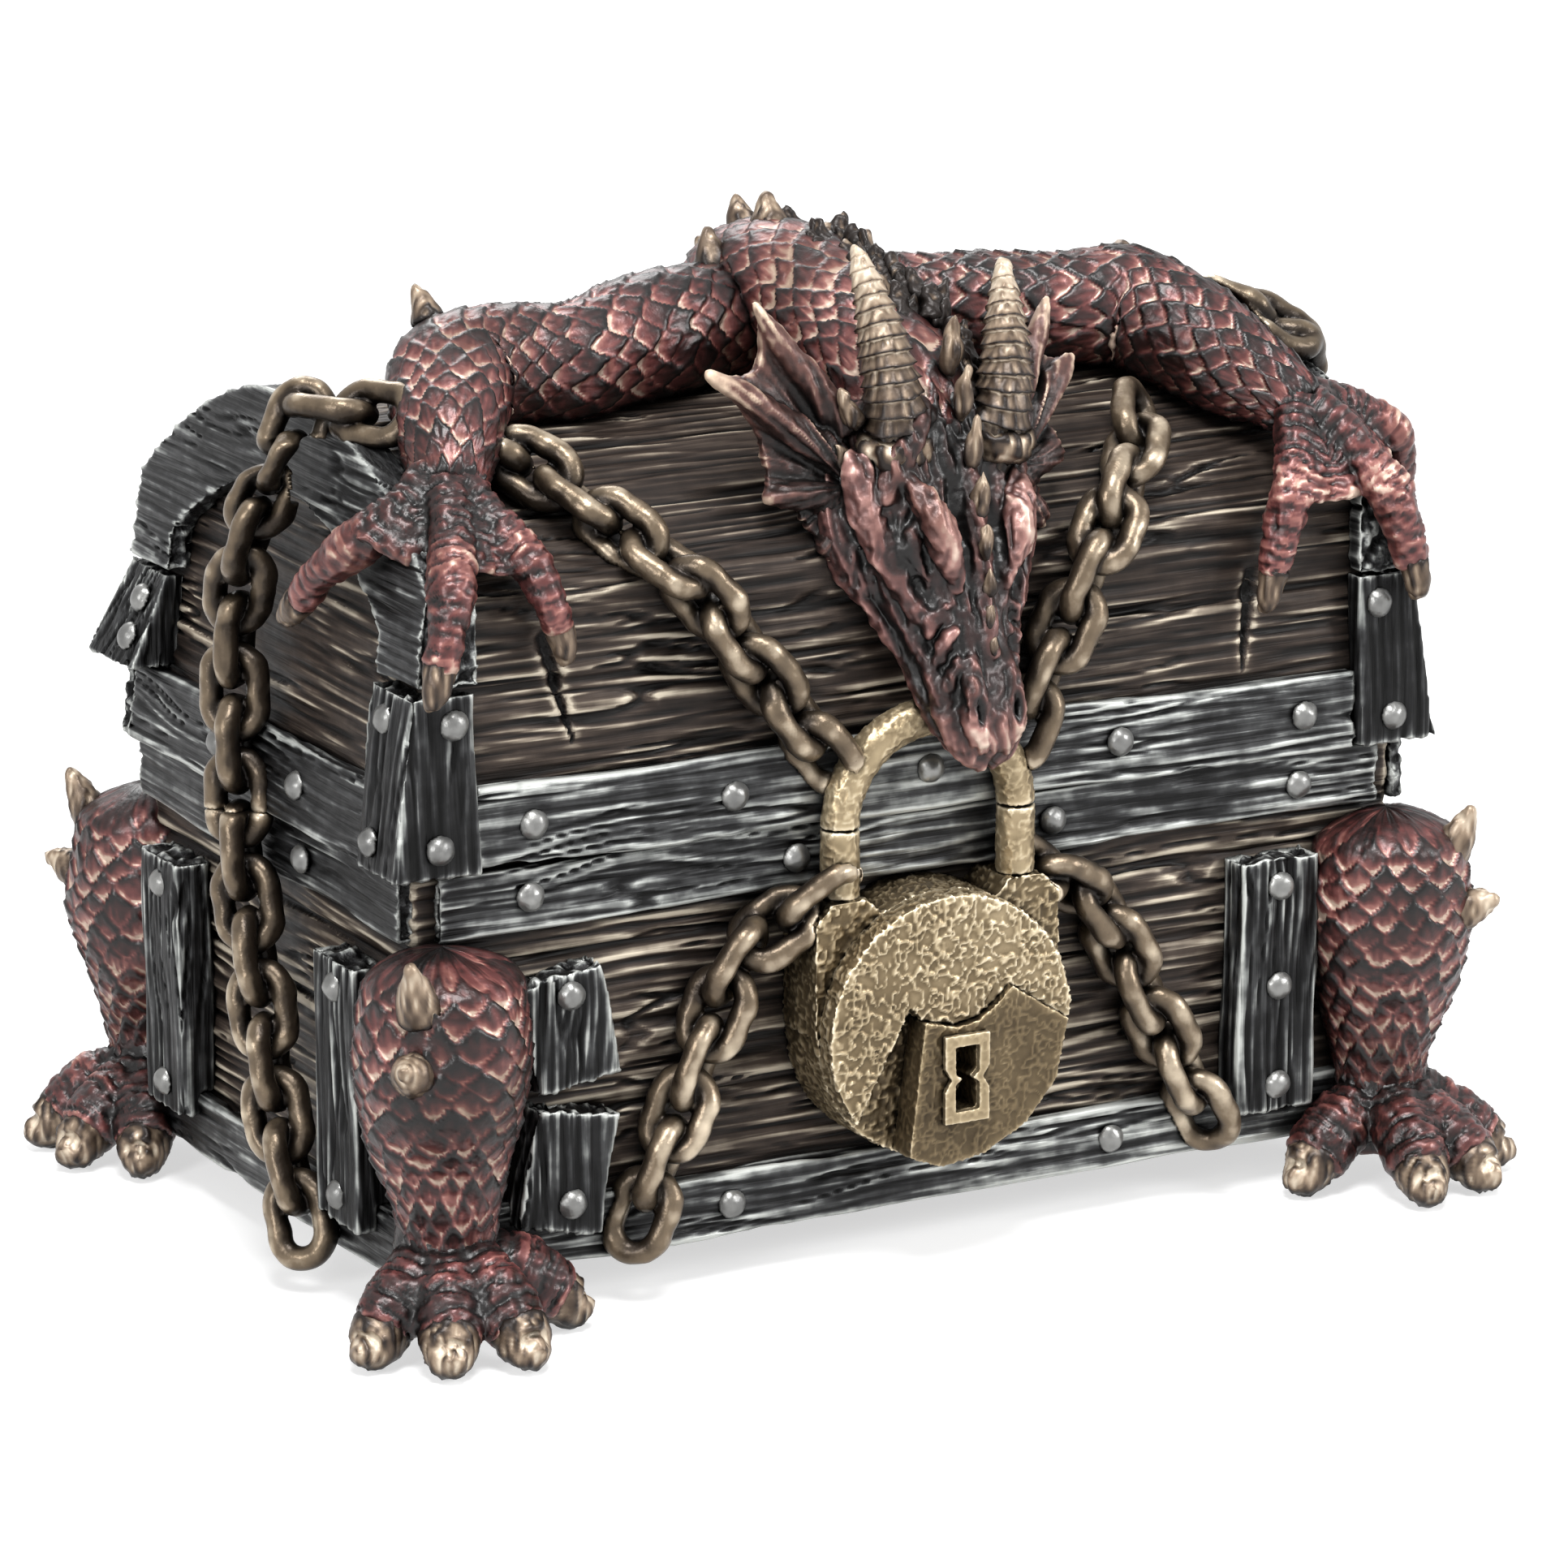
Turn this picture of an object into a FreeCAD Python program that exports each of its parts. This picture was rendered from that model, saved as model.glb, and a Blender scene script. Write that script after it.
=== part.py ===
"""Treasure chest keepsake box: a plank chest on four clawed legs, chained and padlocked, under a dragon.

Frame: millimetres, +Z up, origin on the table under the middle of the feet, front towards -Y.
The base stands still. The lid lifts straight up off the base.
"""
import FreeCAD, Part
import math
import os

import Sketcher
from FreeCAD import Vector

doc = FreeCAD.newDocument("treasure_chest")

# Driving dimensions, in millimetres and degrees

SIZES = [
    ("box_length", "103"),
    ("box_depth", "57"),
    ("box_bottom", "4.5"),
    ("seam_height", "42.5"),
    ("seam_gap", "0.2"),
    ("box_wall", "3.5"),
    ("box_floor", "4"),
    ("plank_height", "7.6"),
    ("plank_groove", "0.7"),
    ("lid_overhang", "1"),
    ("lid_side_height", "24"),
    ("lid_arch_rise", "11.4"),
    ("lid_front_lean", "2"),
    ("lid_end_lean", "8.5"),
    ("lid_crown_wall", "4"),
    ("lid_rim_height", "2.5"),
    ("lid_rim_wall", "1.8"),
    ("lid_rim_clearance", "0.4"),
    ("arch_planks", "7"),
    ("rail_thickness", "1.5"),
    ("base_rail_height", "6"),
    ("lid_rail_height", "7.4"),
    ("rail_end_inset", "2"),
    ("skirt_height", "6"),
    ("strap_thickness", "2.2"),
    ("strap_width", "8.5"),
    ("strap_height", "16.5"),
    ("rear_strap_rise", "7.6"),
    ("rear_strap_flare", "2.4"),
    ("band_flange", "6.5"),
    ("strap_split", "0.4"),
    ("batten_width", "8.4"),
    ("batten_thickness", "2"),
    ("batten_height", "25"),
    ("batten_lift", "3.6"),
    ("batten_break", "2.2"),
    ("batten_lean", "10"),
    ("front_batten_inset", "14"),
    ("side_batten_inset", "9"),
    ("rivet_radius", "1.35"),
    ("rivet_height", "0.95"),
    ("rail_rivet_inset", "11"),
    ("leg_radius", "8"),
    ("leg_inset", "1.7"),
    ("front_leg_stand", "2.6"),
    ("rear_leg_stand", "5"),
    ("leg_gap", "0.4"),
    ("ankle_radius", "4.4"),
    ("ankle_height", "10.5"),
    ("toe_radius", "2.9"),
    ("toe_reach", "8"),
    ("toe_claw", "3.6"),
    ("rear_foot_turn", "42"),
    ("spike_length", "4.6"),
    ("spike_radius", "2.1"),
    ("lock_clearance", "0.4"),
    ("lock_radius", "=(seam_height - base_rail_height - box_bottom - skirt_height) / 2 - lock_clearance"),
    ("lock_offset", "-1.3"),
    ("case_thickness", "6.4"),
    ("disc_thickness", "2.6"),
    ("cover_thickness", "3.3"),
    ("frame_thickness", "0.7"),
    ("keyhole_width", "2.5"),
    ("keyhole_height", "6.2"),
    ("keyhole_waist", "1.1"),
    ("keyhole_rim", "1.1"),
    ("ear_radius", "3.6"),
    ("shackle_wire", "3.6"),
    ("shackle_radius", "9.2"),
    ("chain_wire", "2"),
    ("chain_clearance", "0.3"),
    ("link_opening", "5.2"),
    ("link_roll", "45"),
    ("chain_lift", "2.9"),
    ("dragon_offset", "2"),
    ("torso_width", "20"),
    ("torso_height", "13"),
    ("neck_radius", "7.6"),
    ("tail_length", "44"),
    ("arm_radius", "5.6"),
    ("wrist_radius", "3.5"),
    ("finger_radius", "2.5"),
    ("head_length", "33"),
    ("head_width", "19"),
    ("head_depth", "13.4"),
    ("head_tilt", "65"),
    ("horn_length", "17"),
    ("horn_radius", "2.6"),
    ("horn_spread", "5.6"),
    ("ear_fan", "15"),
    ("ear_thickness", "2"),
    ("spine_length", "4"),
    ("spine_radius", "2"),
]

sheet = doc.addObject("Spreadsheet::Sheet", "sizes")
for row, (alias, number) in enumerate(SIZES, start=1):
    sheet.set(f"A{row}", alias)
    sheet.set(f"B{row}", number)
    sheet.setAlias(f"B{row}", alias)
doc.recompute()


def size(alias):
    """The value of one driving dimension."""
    return float(sheet.get(alias))


# Places worked out from the driving dimensions

half_length = size("box_length") / 2
half_depth = size("box_depth") / 2
seam = size("seam_height")
lid_bottom = seam + size("seam_gap")
lid_half_length = half_length + size("lid_overhang")
lid_half_depth = half_depth + size("lid_overhang")
front_slope = math.tan(math.radians(size("lid_front_lean")))
end_slope = math.tan(math.radians(size("lid_end_lean")))
hip_height = lid_bottom + size("lid_side_height")
hip_depth = lid_half_depth - size("lid_side_height") * front_slope
hip_length = lid_half_length - size("lid_side_height") * end_slope
crown = hip_height + size("lid_arch_rise")
arch_radius = (hip_depth ** 2 + size("lid_arch_rise") ** 2) / (2 * size("lid_arch_rise"))
arch_centre = crown - arch_radius
base_rail_bottom = seam - size("base_rail_height")
lid_rail_top = lid_bottom + size("lid_rail_height")
skirt_top = size("box_bottom") + size("skirt_height")
rail_face = half_depth + size("rail_thickness")
lid_rail_face = lid_half_depth + size("rail_thickness")
strap_top = lid_bottom + size("strap_height")
# how far the cutting blocks reach: past everything, or just past one face
wide = 4 * size("box_length")
spare = 1.0

SIDES = (("left", -1), ("right", 1))
ENDS = (("front", -1), ("rear", 1))
WAYS = dict(ENDS + SIDES)


def arch_point(x, y, lift=0):
    """A point over the arched planks of the lid, lifted along the radius of the arch."""
    height = math.sqrt(arch_radius ** 2 - y ** 2)
    grow = (arch_radius + lift) / arch_radius
    return Vector(x, y * grow, arch_centre + height * grow)


def lid_front_point(x, z, lift=0):
    """A point on the front planks of the lid, lifted away from them."""
    return Vector(x, -(lid_half_depth - (z - lid_bottom) * front_slope) - lift, z)


def lid_end_point(side, y, z, lift=0):
    """A point on the leaning end planks of the lid, lifted away from them."""
    return Vector(side * (lid_half_length - (z - lid_bottom) * end_slope + lift), y, z)


# Helpers

def plane_of(body, role):
    """One of a body's own origin planes or axes."""
    return next(item for item in body.Origin.OriginFeatures if item.Role == role)


def new_body(label):
    body = doc.addObject("PartDesign::Body", label)
    body.Label = label
    return body


def new_sketch(body, name, plane, lift=None):
    """An empty sketch on one of the body's planes, moved along the plane's normal by an expression."""
    sketch = body.newObject("Sketcher::SketchObject", name)
    sketch.AttachmentSupport = (plane_of(body, plane), [""])
    sketch.MapMode = "FlatFace"
    if lift:
        sketch.setExpression(".AttachmentOffset.Base.z", lift)
    return sketch


def bound_rectangle(sketch, width, height):
    """A rectangle about the sketch's origin, with its width and height bound to expressions."""
    corners = [Vector(a, b, 0) for a, b in ((-1, -1), (1, -1), (1, 1), (-1, 1))]
    first = sketch.GeometryCount
    for start, end in zip(corners, corners[1:] + corners[:1]):
        sketch.addGeometry(Part.LineSegment(start, end))
    for step in range(4):
        sketch.addConstraint(Sketcher.Constraint("Coincident", first + step, 2, first + (step + 1) % 4, 1))
    for step, way in enumerate(("Horizontal", "Vertical", "Horizontal", "Vertical")):
        sketch.addConstraint(Sketcher.Constraint(way, first + step))
    for line, way, size_text in ((first, "DistanceX", width), (first + 1, "DistanceY", height)):
        spot = sketch.addConstraint(Sketcher.Constraint(way, line, 1, line, 2, 2.0))
        sketch.setExpression(f"Constraints[{spot}]", size_text)
    sketch.addConstraint(Sketcher.Constraint("Symmetric", first, 1, first + 1, 2, -1, 1))


def outline_sketch(sketch, corners):
    """A closed outline through fixed corners worked out from the sheet."""
    points = [Vector(a, b, 0) for a, b in corners]
    first = sketch.GeometryCount
    for start, end in zip(points, points[1:] + points[:1]):
        sketch.addGeometry(Part.LineSegment(start, end))
    count = len(points)
    for step in range(count):
        following = first + (step + 1) % count
        sketch.addConstraint(Sketcher.Constraint("Coincident", first + step, 2, following, 1))
    for step in range(count):
        sketch.addConstraint(Sketcher.Constraint("Block", first + step))


def pad(body, name, sketch, length, reverse=False, both_ways=False):
    feature = body.newObject("PartDesign::Pad", name)
    feature.Profile = sketch
    feature.setExpression("Length", length)
    feature.Reversed = reverse
    if both_ways:
        feature.SideType = "Symmetric"
    return feature


def pocket(body, name, sketch, length=None, reverse=False, both_ways=False):
    feature = body.newObject("PartDesign::Pocket", name)
    feature.Profile = sketch
    if length:
        feature.setExpression("Length", length)
    else:
        feature.Type = "ThroughAll"
    feature.Reversed = reverse
    if both_ways:
        feature.SideType = "Symmetric"
    return feature


def solid_feature(label, shape):
    """A named piece whose shape was worked out from the sheet's values."""
    piece = doc.addObject("Part::Feature", label)
    piece.Label = label
    piece.Shape = shape
    return piece


def block(x0, x1, y0, y1, z0, z1):
    return Part.makeBox(x1 - x0, y1 - y0, z1 - z0, Vector(x0, y0, z0))


def largest(shape):
    return max(shape.Solids, key=lambda solid: solid.Volume)


def near(first, second):
    return first.BoundBox.intersect(second.BoundBox)


def cut_by(shape, tools):
    """The shape without what its neighbours take up, kept as one solid."""
    for tool in tools:
        if near(shape, tool):
            shape = largest(shape.cut(tool))
    return shape


# The base box and the boards on it

def make_base_box():
    body = new_body("base_box")
    plan = new_sketch(body, "box_plan", "XY_Plane", "sizes.box_bottom")
    bound_rectangle(plan, "sizes.box_length", "sizes.box_depth")
    pad(body, "box_block", plan, "sizes.seam_height - sizes.box_bottom")
    inside = new_sketch(body, "cavity_plan", "XY_Plane", "sizes.seam_height")
    bound_rectangle(inside, "sizes.box_length - 2 * sizes.box_wall", "sizes.box_depth - 2 * sizes.box_wall")
    pocket(body, "cavity", inside, "sizes.seam_height - sizes.box_bottom - sizes.box_floor")
    depth = size("plank_groove")
    level = skirt_top + size("plank_height")
    sides = (("long_grooves", "YZ_Plane", half_depth), ("end_grooves", "XZ_Plane", half_length))
    for name, plane, face in sides:
        notches = new_sketch(body, name + "_outline", plane)
        for way in (-1, 1):
            outer = way * (face + depth)
            outline_sketch(notches, [(outer, level - 2 * depth), (outer, level + 2 * depth),
                                     (way * (face - depth), level)])
        cut = pocket(body, name, notches, both_ways=True)
        rows = body.newObject("PartDesign::LinearPattern", name + "_rows")
        rows.Originals = [cut]
        rows.Direction = (plane_of(body, "Z_Axis"), [""])
        rows.Occurrences = max(2, int((base_rail_bottom - level) / size("plank_height")) + 1)
        rows.setExpression("Length", f"sizes.plank_height * {rows.Occurrences - 1}")
        body.Tip = rows
    doc.recompute()
    return body


base_box = make_base_box()
base_block = block(-half_length, half_length, -half_depth, half_depth, size("box_bottom"), seam)
base_pieces = {}
lid_pieces = {}


def base_layer(thickness):
    """The box grown outwards by one board's thickness, with the box itself taken out."""
    grown = block(-half_length - thickness, half_length + thickness, -half_depth - thickness,
                  half_depth + thickness, size("box_bottom"), seam)
    return grown.cut(base_block)


def side_zone(face, low, high, reach):
    """The space outside one side of the box between two heights; the long sides run on past the corners."""
    way = WAYS[face]
    if face in ("left", "right"):
        return block(*sorted((0, way * wide)), -half_depth, half_depth, low, high)
    return block(-reach, reach, *sorted((way * half_depth, way * wide)), low, high)


rails = base_layer(size("rail_thickness"))
for face in WAYS:
    rail_reach = half_length - size("rail_end_inset")
    base_pieces[f"base_rail_{face}"] = rails.common(side_zone(face, base_rail_bottom, seam, rail_reach))
    base_pieces[f"skirt_{face}"] = rails.common(side_zone(face, size("box_bottom"), skirt_top, wide))

batten_low = size("box_bottom") + size("batten_lift")
batten_top = min(batten_low + size("batten_height"), base_rail_bottom - size("leg_gap"))
batten_break = (batten_low + batten_top) / 2


def batten(face, place, spans):
    """An upright board on the planks and skirt of one face, in lengths that may lean."""
    half_width = size("batten_width") / 2
    thickness = size("rail_thickness") + size("batten_thickness")
    way = WAYS[face]
    boards = []
    for bottom, top, lean in spans:
        if face in ("front", "rear"):
            layer = sorted((way * half_depth, way * (half_depth + thickness)))
            board = block(place - half_width, place + half_width, *layer, bottom, top)
            board.rotate(Vector(place, 0, (bottom + top) / 2), Vector(0, 1, 0), lean)
        else:
            layer = sorted((way * half_length, way * (half_length + thickness)))
            board = block(*layer, place - half_width, place + half_width, bottom, top)
        boards.append(cut_by(board, [base_pieces[f"skirt_{face}"]]))
    return boards


front_batten = half_length - size("front_batten_inset")
side_batten = half_depth - size("side_batten_inset")
batten_lean = size("batten_lean")
lean_room = size("batten_width") / 2 * math.sin(math.radians(batten_lean))
whole_span = [(batten_low, batten_top, 0)]
broken_span = [(batten_low, batten_break - size("batten_break") / 2, batten_lean),
               (batten_break + size("batten_break") / 2, batten_top - lean_room, -batten_lean)]
for face in WAYS:
    place = front_batten if face in ("front", "rear") else side_batten
    left_span = broken_span if face == "front" else whole_span
    boards = batten(face, -place, left_span) + batten(face, place, whole_span)
    base_pieces[f"battens_{face}"] = Part.makeCompound(boards)


# The lid: one arched block, used for the shell and for every layer that lies on it

def lid_profile(grow):
    """The lid's end outline grown by a thickness: half its depth at the foot and hip, the hip and the top."""
    foot = lid_half_depth + grow / math.cos(math.radians(size("lid_front_lean")))
    radius = arch_radius + grow
    drop = lid_bottom - arch_centre
    # where the leaning side meets the grown arch: (foot - slope * t) ** 2 + (drop + t) ** 2 = radius ** 2
    a = front_slope ** 2 + 1
    b = 2 * (drop - foot * front_slope)
    c = foot ** 2 + drop ** 2 - radius ** 2
    rise = (-b + math.sqrt(b ** 2 - 4 * a * c)) / (2 * a)
    return foot, foot - front_slope * rise, lid_bottom + rise, arch_centre + radius


def lean_corners(way, reach, top):
    """The wedge outside one leaning end of the lid, as (x, z) points."""
    tall = top - lid_bottom + spare
    return [(way * reach, lid_bottom), (way * (reach + spare), lid_bottom),
            (way * (reach + spare), lid_bottom + tall), (way * (reach - end_slope * tall), lid_bottom + tall)]


def lid_block(grow, end_grow):
    """The solid lid without its hollow, grown by a thickness over its sides and its ends."""
    foot, hip, hip_z, top = lid_profile(grow)
    outline = Part.Wire([
        Part.LineSegment(Vector(0, -foot, lid_bottom), Vector(0, foot, lid_bottom)).toShape(),
        Part.LineSegment(Vector(0, foot, lid_bottom), Vector(0, hip, hip_z)).toShape(),
        Part.Arc(Vector(0, hip, hip_z), Vector(0, 0, top), Vector(0, -hip, hip_z)).toShape(),
        Part.LineSegment(Vector(0, -hip, hip_z), Vector(0, -foot, lid_bottom)).toShape()])
    reach = lid_half_length + end_grow / math.cos(math.radians(size("lid_end_lean")))
    outline.translate(Vector(-reach, 0, 0))
    solid = Part.Face(outline).extrude(Vector(2 * reach, 0, 0))
    for way in (-1, 1):
        corners = [Vector(x, -wide, z) for x, z in lean_corners(way, reach, top)]
        wedge = Part.Face(Part.makePolygon(corners + corners[:1]))
        solid = solid.cut(wedge.extrude(Vector(0, 2 * wide, 0)))
    return largest(solid)


def make_lid_shell():
    body = new_body("lid_shell")
    inner_depth = half_depth - size("box_wall") - size("lid_rim_clearance") - size("lid_rim_wall")
    inner_length = half_length - size("box_wall") - size("lid_rim_clearance") - size("lid_rim_wall")
    profile = new_sketch(body, "lid_profile", "YZ_Plane")
    foot, hip, hip_z, top = lid_profile(0)
    lines = [((-foot, lid_bottom), (foot, lid_bottom)), ((foot, lid_bottom), (hip, hip_z)),
             ((-hip, hip_z), (-foot, lid_bottom))]
    for start, end in lines:
        profile.addGeometry(Part.LineSegment(Vector(*start, 0), Vector(*end, 0)))
    profile.addGeometry(Part.Arc(Vector(hip, hip_z, 0), Vector(0, top, 0), Vector(-hip, hip_z, 0)))
    for step in range(4):
        profile.addConstraint(Sketcher.Constraint("Block", step))
    pad(body, "lid_block", profile, "sizes.box_length + 2 * sizes.lid_overhang", both_ways=True)
    ends = new_sketch(body, "end_lean", "XZ_Plane")
    for way in (-1, 1):
        outline_sketch(ends, lean_corners(way, lid_half_length, top))
    pocket(body, "lean_ends", ends, both_ways=True)
    hollow = new_sketch(body, "hollow_profile", "YZ_Plane")
    spring = arch_centre + math.sqrt((arch_radius - size("lid_crown_wall")) ** 2 - inner_depth ** 2)
    for start, end in (((-inner_depth, lid_bottom), (inner_depth, lid_bottom)),
                       ((inner_depth, lid_bottom), (inner_depth, spring)),
                       ((-inner_depth, spring), (-inner_depth, lid_bottom))):
        hollow.addGeometry(Part.LineSegment(Vector(*start, 0), Vector(*end, 0)))
    hollow.addGeometry(Part.Arc(Vector(inner_depth, spring, 0), Vector(0, crown - size("lid_crown_wall"), 0),
                                Vector(-inner_depth, spring, 0)))
    for step in range(4):
        hollow.addConstraint(Sketcher.Constraint("Block", step))
    roof_length = min(inner_length, lid_half_length - end_slope * (crown - lid_bottom) - size("lid_rim_wall"))
    pocket(body, "hollow", hollow, str(2 * roof_length), both_ways=True)
    rim = new_sketch(body, "rim_plan", "XY_Plane", "sizes.seam_height + sizes.seam_gap")
    shrink = "2 * (sizes.box_wall + sizes.lid_rim_clearance)"
    bound_rectangle(rim, f"sizes.box_length - {shrink}", f"sizes.box_depth - {shrink}")
    bound_rectangle(rim, f"{2 * roof_length}", f"sizes.box_depth - {shrink} - 2 * sizes.lid_rim_wall")
    pad(body, "locating_rim", rim, "sizes.lid_rim_height", reverse=True)
    groove = new_sketch(body, "arch_groove_outline", "YZ_Plane")
    depth = size("plank_groove")
    turn = math.asin(hip_depth / arch_radius)
    step = 2 * turn / size("arch_planks")
    for count in range(1, int(size("arch_planks"))):
        angle = -turn + count * step
        across = Vector(math.cos(angle), -math.sin(angle), 0)
        outward = Vector(math.sin(angle), math.cos(angle), 0)
        middle = Vector(0, arch_centre, 0)
        corners = [middle + outward * (arch_radius + depth) - across * 2 * depth,
                   middle + outward * (arch_radius + depth) + across * 2 * depth,
                   middle + outward * (arch_radius - depth)]
        outline_sketch(groove, [(corner.x, corner.y) for corner in corners])
    for way in (-1, 1):
        level = lid_rail_top + (hip_height - lid_rail_top) / 2
        face = lid_half_depth - (level - lid_bottom) * front_slope
        outer = way * (face + depth)
        outline_sketch(groove, [(outer, level - 2 * depth), (outer, level + 2 * depth),
                                (way * (face - depth), level)])
    pocket(body, "plank_grooves", groove, both_ways=True)
    doc.recompute()
    return body


lid_shell = make_lid_shell()
lid_solid = lid_block(0, 0)
strap_layer = lid_block(size("strap_thickness"), size("strap_thickness")).cut(lid_solid)
rail_layer = lid_block(size("rail_thickness"), size("rail_thickness")).cut(lid_solid)
strap_x = lid_half_length + size("strap_thickness") - size("strap_width")
strap_y = lid_half_depth + size("strap_thickness") - size("strap_width")
strap_feet = {"front": lid_bottom, "rear": lid_bottom + size("rear_strap_rise")}
# how much each strap's faces draw in for each millimetre up, beyond the lid's own lean
strap_flares = {"front": 0, "rear": size("rear_strap_flare") / (strap_top - strap_feet["rear"])}


def strap_lift(end_name, level):
    """A corner strap's level thickness at one height."""
    return size("strap_thickness") + strap_flares[end_name] * (strap_top - level)


def strap_plan(side, end_name, end, level):
    """The L that a corner strap makes round the lid at one height."""
    lift = strap_lift(end_name, level)
    x = lid_half_length - (level - lid_bottom) * end_slope
    y = lid_half_depth - (level - lid_bottom) * front_slope
    corners = [(strap_x, y), (strap_x, y + lift), (x + lift, y + lift)]
    corners += [(x + lift, strap_y), (x, strap_y), (x, y)]
    return Part.makePolygon([Vector(side * a, end * b, level) for a, b in corners + corners[:1]])


for side_name, side in SIDES:
    for end_name, end in ENDS:
        plans = [strap_plan(side, end_name, end, level) for level in (strap_feet[end_name], strap_top)]
        lid_pieces[f"corner_strap_{end_name}_{side_name}"] = Part.makeLoft(plans, True, True)
    over = block(*sorted((side * strap_x, side * wide)), -wide, wide, strap_top + size("strap_split"), wide)
    inset = lid_block(-size("band_flange"), size("strap_thickness") + spare)
    lid_pieces[f"lid_band_{side_name}"] = largest(strap_layer.common(over).cut(inset))

for end_name, end in ENDS:
    reach = strap_x if end_name == "front" else lid_half_length + size("rail_thickness")
    zone = block(-reach, reach, *sorted((end * hip_depth, end * wide)), lid_bottom, lid_rail_top)
    lid_pieces[f"lid_rail_{end_name}"] = largest(rail_layer.common(zone))
for side_name, side in SIDES:
    zone = block(*sorted((side * hip_length, side * wide)), -strap_y, hip_depth, lid_bottom, lid_rail_top)
    lid_pieces[f"lid_rail_{side_name}"] = largest(rail_layer.common(zone))


# Dome rivets

def dome(point, normal):
    """A rivet head: the cap of a ball, seated flat on the face at a point."""
    radius, height = size("rivet_radius"), size("rivet_height")
    ball = (radius ** 2 + height ** 2) / (2 * height)
    start = math.degrees(math.asin((ball - height) / ball))
    return Part.makeSphere(ball, point - normal * (ball - height), normal, start, 90, 360)


def spread(low, high, count):
    return [low + (high - low) * step / (count - 1) for step in range(count)]


BASE_RAIL_RIVETS = 4
LID_RAIL_RIVETS = 5
front_lean, end_lean = math.radians(size("lid_front_lean")), math.radians(size("lid_end_lean"))
rail_run = half_length - size("rail_rivet_inset")
end_run = (half_depth - size("rail_rivet_inset")) / 2
margin = 2 * size("rivet_radius")
rail_level, lid_rail_level = (seam + base_rail_bottom) / 2, (lid_bottom + lid_rail_top) / 2
skirt_level = (skirt_top + size("box_bottom")) / 2
batten_levels = (batten_low + margin, batten_top - margin)
strap_middle = lid_half_length + size("strap_thickness") - size("strap_width") / 2
rail_lift = size("rail_thickness")
base_rivets = []
lid_rivets = []
for end_name, end in ENDS:
    outward = Vector(0, end, 0)
    lean = Vector(0, end * math.cos(front_lean), math.sin(front_lean))
    for x in spread(-rail_run, rail_run, BASE_RAIL_RIVETS):
        base_rivets.append(dome(Vector(x, end * rail_face, rail_level), outward))
    for x in (-rail_run / 2, rail_run / 2):
        base_rivets.append(dome(Vector(x, end * rail_face, skirt_level), outward))
    for x in spread(-rail_run, rail_run, LID_RAIL_RIVETS):
        spot = lid_front_point(x, lid_rail_level, rail_lift / math.cos(front_lean))
        lid_rivets.append(dome(Vector(spot.x, -end * spot.y, spot.z), lean))
    batten_face = end * (rail_face + size("batten_thickness"))
    for z in batten_levels:
        base_rivets.append(dome(Vector(-front_batten, batten_face, z), outward))
    for z in (*batten_levels, batten_break):
        base_rivets.append(dome(Vector(front_batten, batten_face, z), outward))
    strap_out = Vector(0, end, front_slope + strap_flares[end_name]).normalize()
    for side_name, side in SIDES:
        end_out = Vector(side, 0, end_slope + strap_flares[end_name]).normalize()
        for z in (strap_feet[end_name] + margin, strap_top - margin):
            x = side * (strap_middle - (z - lid_bottom) * end_slope)
            spot = lid_front_point(x, z, strap_lift(end_name, z))
            lid_rivets.append(dome(Vector(x, -end * spot.y, z), strap_out))
            y = end * (strap_y + size("strap_width") / 3)
            lid_rivets.append(dome(lid_end_point(side, y, z, strap_lift(end_name, z)), end_out))
for side_name, side in SIDES:
    outward = Vector(side, 0, 0)
    end_out = Vector(side * math.cos(end_lean), 0, math.sin(end_lean))
    rail_x = side * (half_length + size("rail_thickness"))
    for y in (-end_run, end_run):
        base_rivets.append(dome(Vector(rail_x, y, rail_level), outward))
        spot = lid_end_point(side, y, lid_rail_level, rail_lift / math.cos(end_lean))
        lid_rivets.append(dome(spot, end_out))
    for y in (-side_batten, side_batten):
        for z in batten_levels:
            base_rivets.append(dome(Vector(rail_x + side * size("batten_thickness"), y, z), outward))


# Limbs: shared ovals along a path, so that neighbouring pieces meet face to face

def ovals(stations):
    """Ovals square to a path: stations hold a centre, a normal, half a width and half a thickness."""
    centres = [station[0] for station in stations]
    ring = Part.Circle(Vector(), Vector(0, 0, 1), 1).toShape()
    wires = []
    for step, (centre, normal, half_width, half_thickness) in enumerate(stations):
        ahead = centres[min(step + 1, len(centres) - 1)]
        behind = centres[max(step - 1, 0)]
        axis = (ahead - behind).normalize()
        side = axis.cross(normal).normalize()
        up = side.cross(axis) * half_thickness
        side = side * half_width
        frame = FreeCAD.Matrix(side.x, up.x, axis.x, centre.x, side.y, up.y, axis.y, centre.y,
                               side.z, up.z, axis.z, centre.z, 0, 0, 0, 1)
        wires.append(Part.Wire([ring.transformGeometry(frame)]))
    return wires


def loft(wires):
    return Part.makeLoft(wires, True, False)


def fuse(shapes):
    return shapes[0].multiFuse(shapes[1:]).removeSplitter()


floor = block(-wide, wide, -wide, wide, -wide, 0)


# Legs and feet

# bearing of each toe and its share of the reach
TOES = ((58, 0.96), (23, 1), (-8, 1.06), (-92, 0.8))
# share of the way from ankle to claw, height and radius in toe radii
TOE_PATH = ((0, 2.3, 1.0), (0.35, 2.2, 1.08), (0.7, 1.6, 1.06), (1, 0.76, 0.86))
# share of the claw, height and radius in toe radii
CLAW_PATH = ((0.5, 0.62, 0.7), (1, 0.24, 0.3))
# share of the drop from the rail to the ankle, with its parts of the leg's radius and the ankle's
LEG_PROFILE = ((0, 0.35, 0), (0.06, 0.66, 0), (0.22, 0.93, 0), (0.42, 1, 0), (0.63, 0.88, 0),
               (0.82, 0.3, 0.5), (1, 0, 1))
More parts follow.
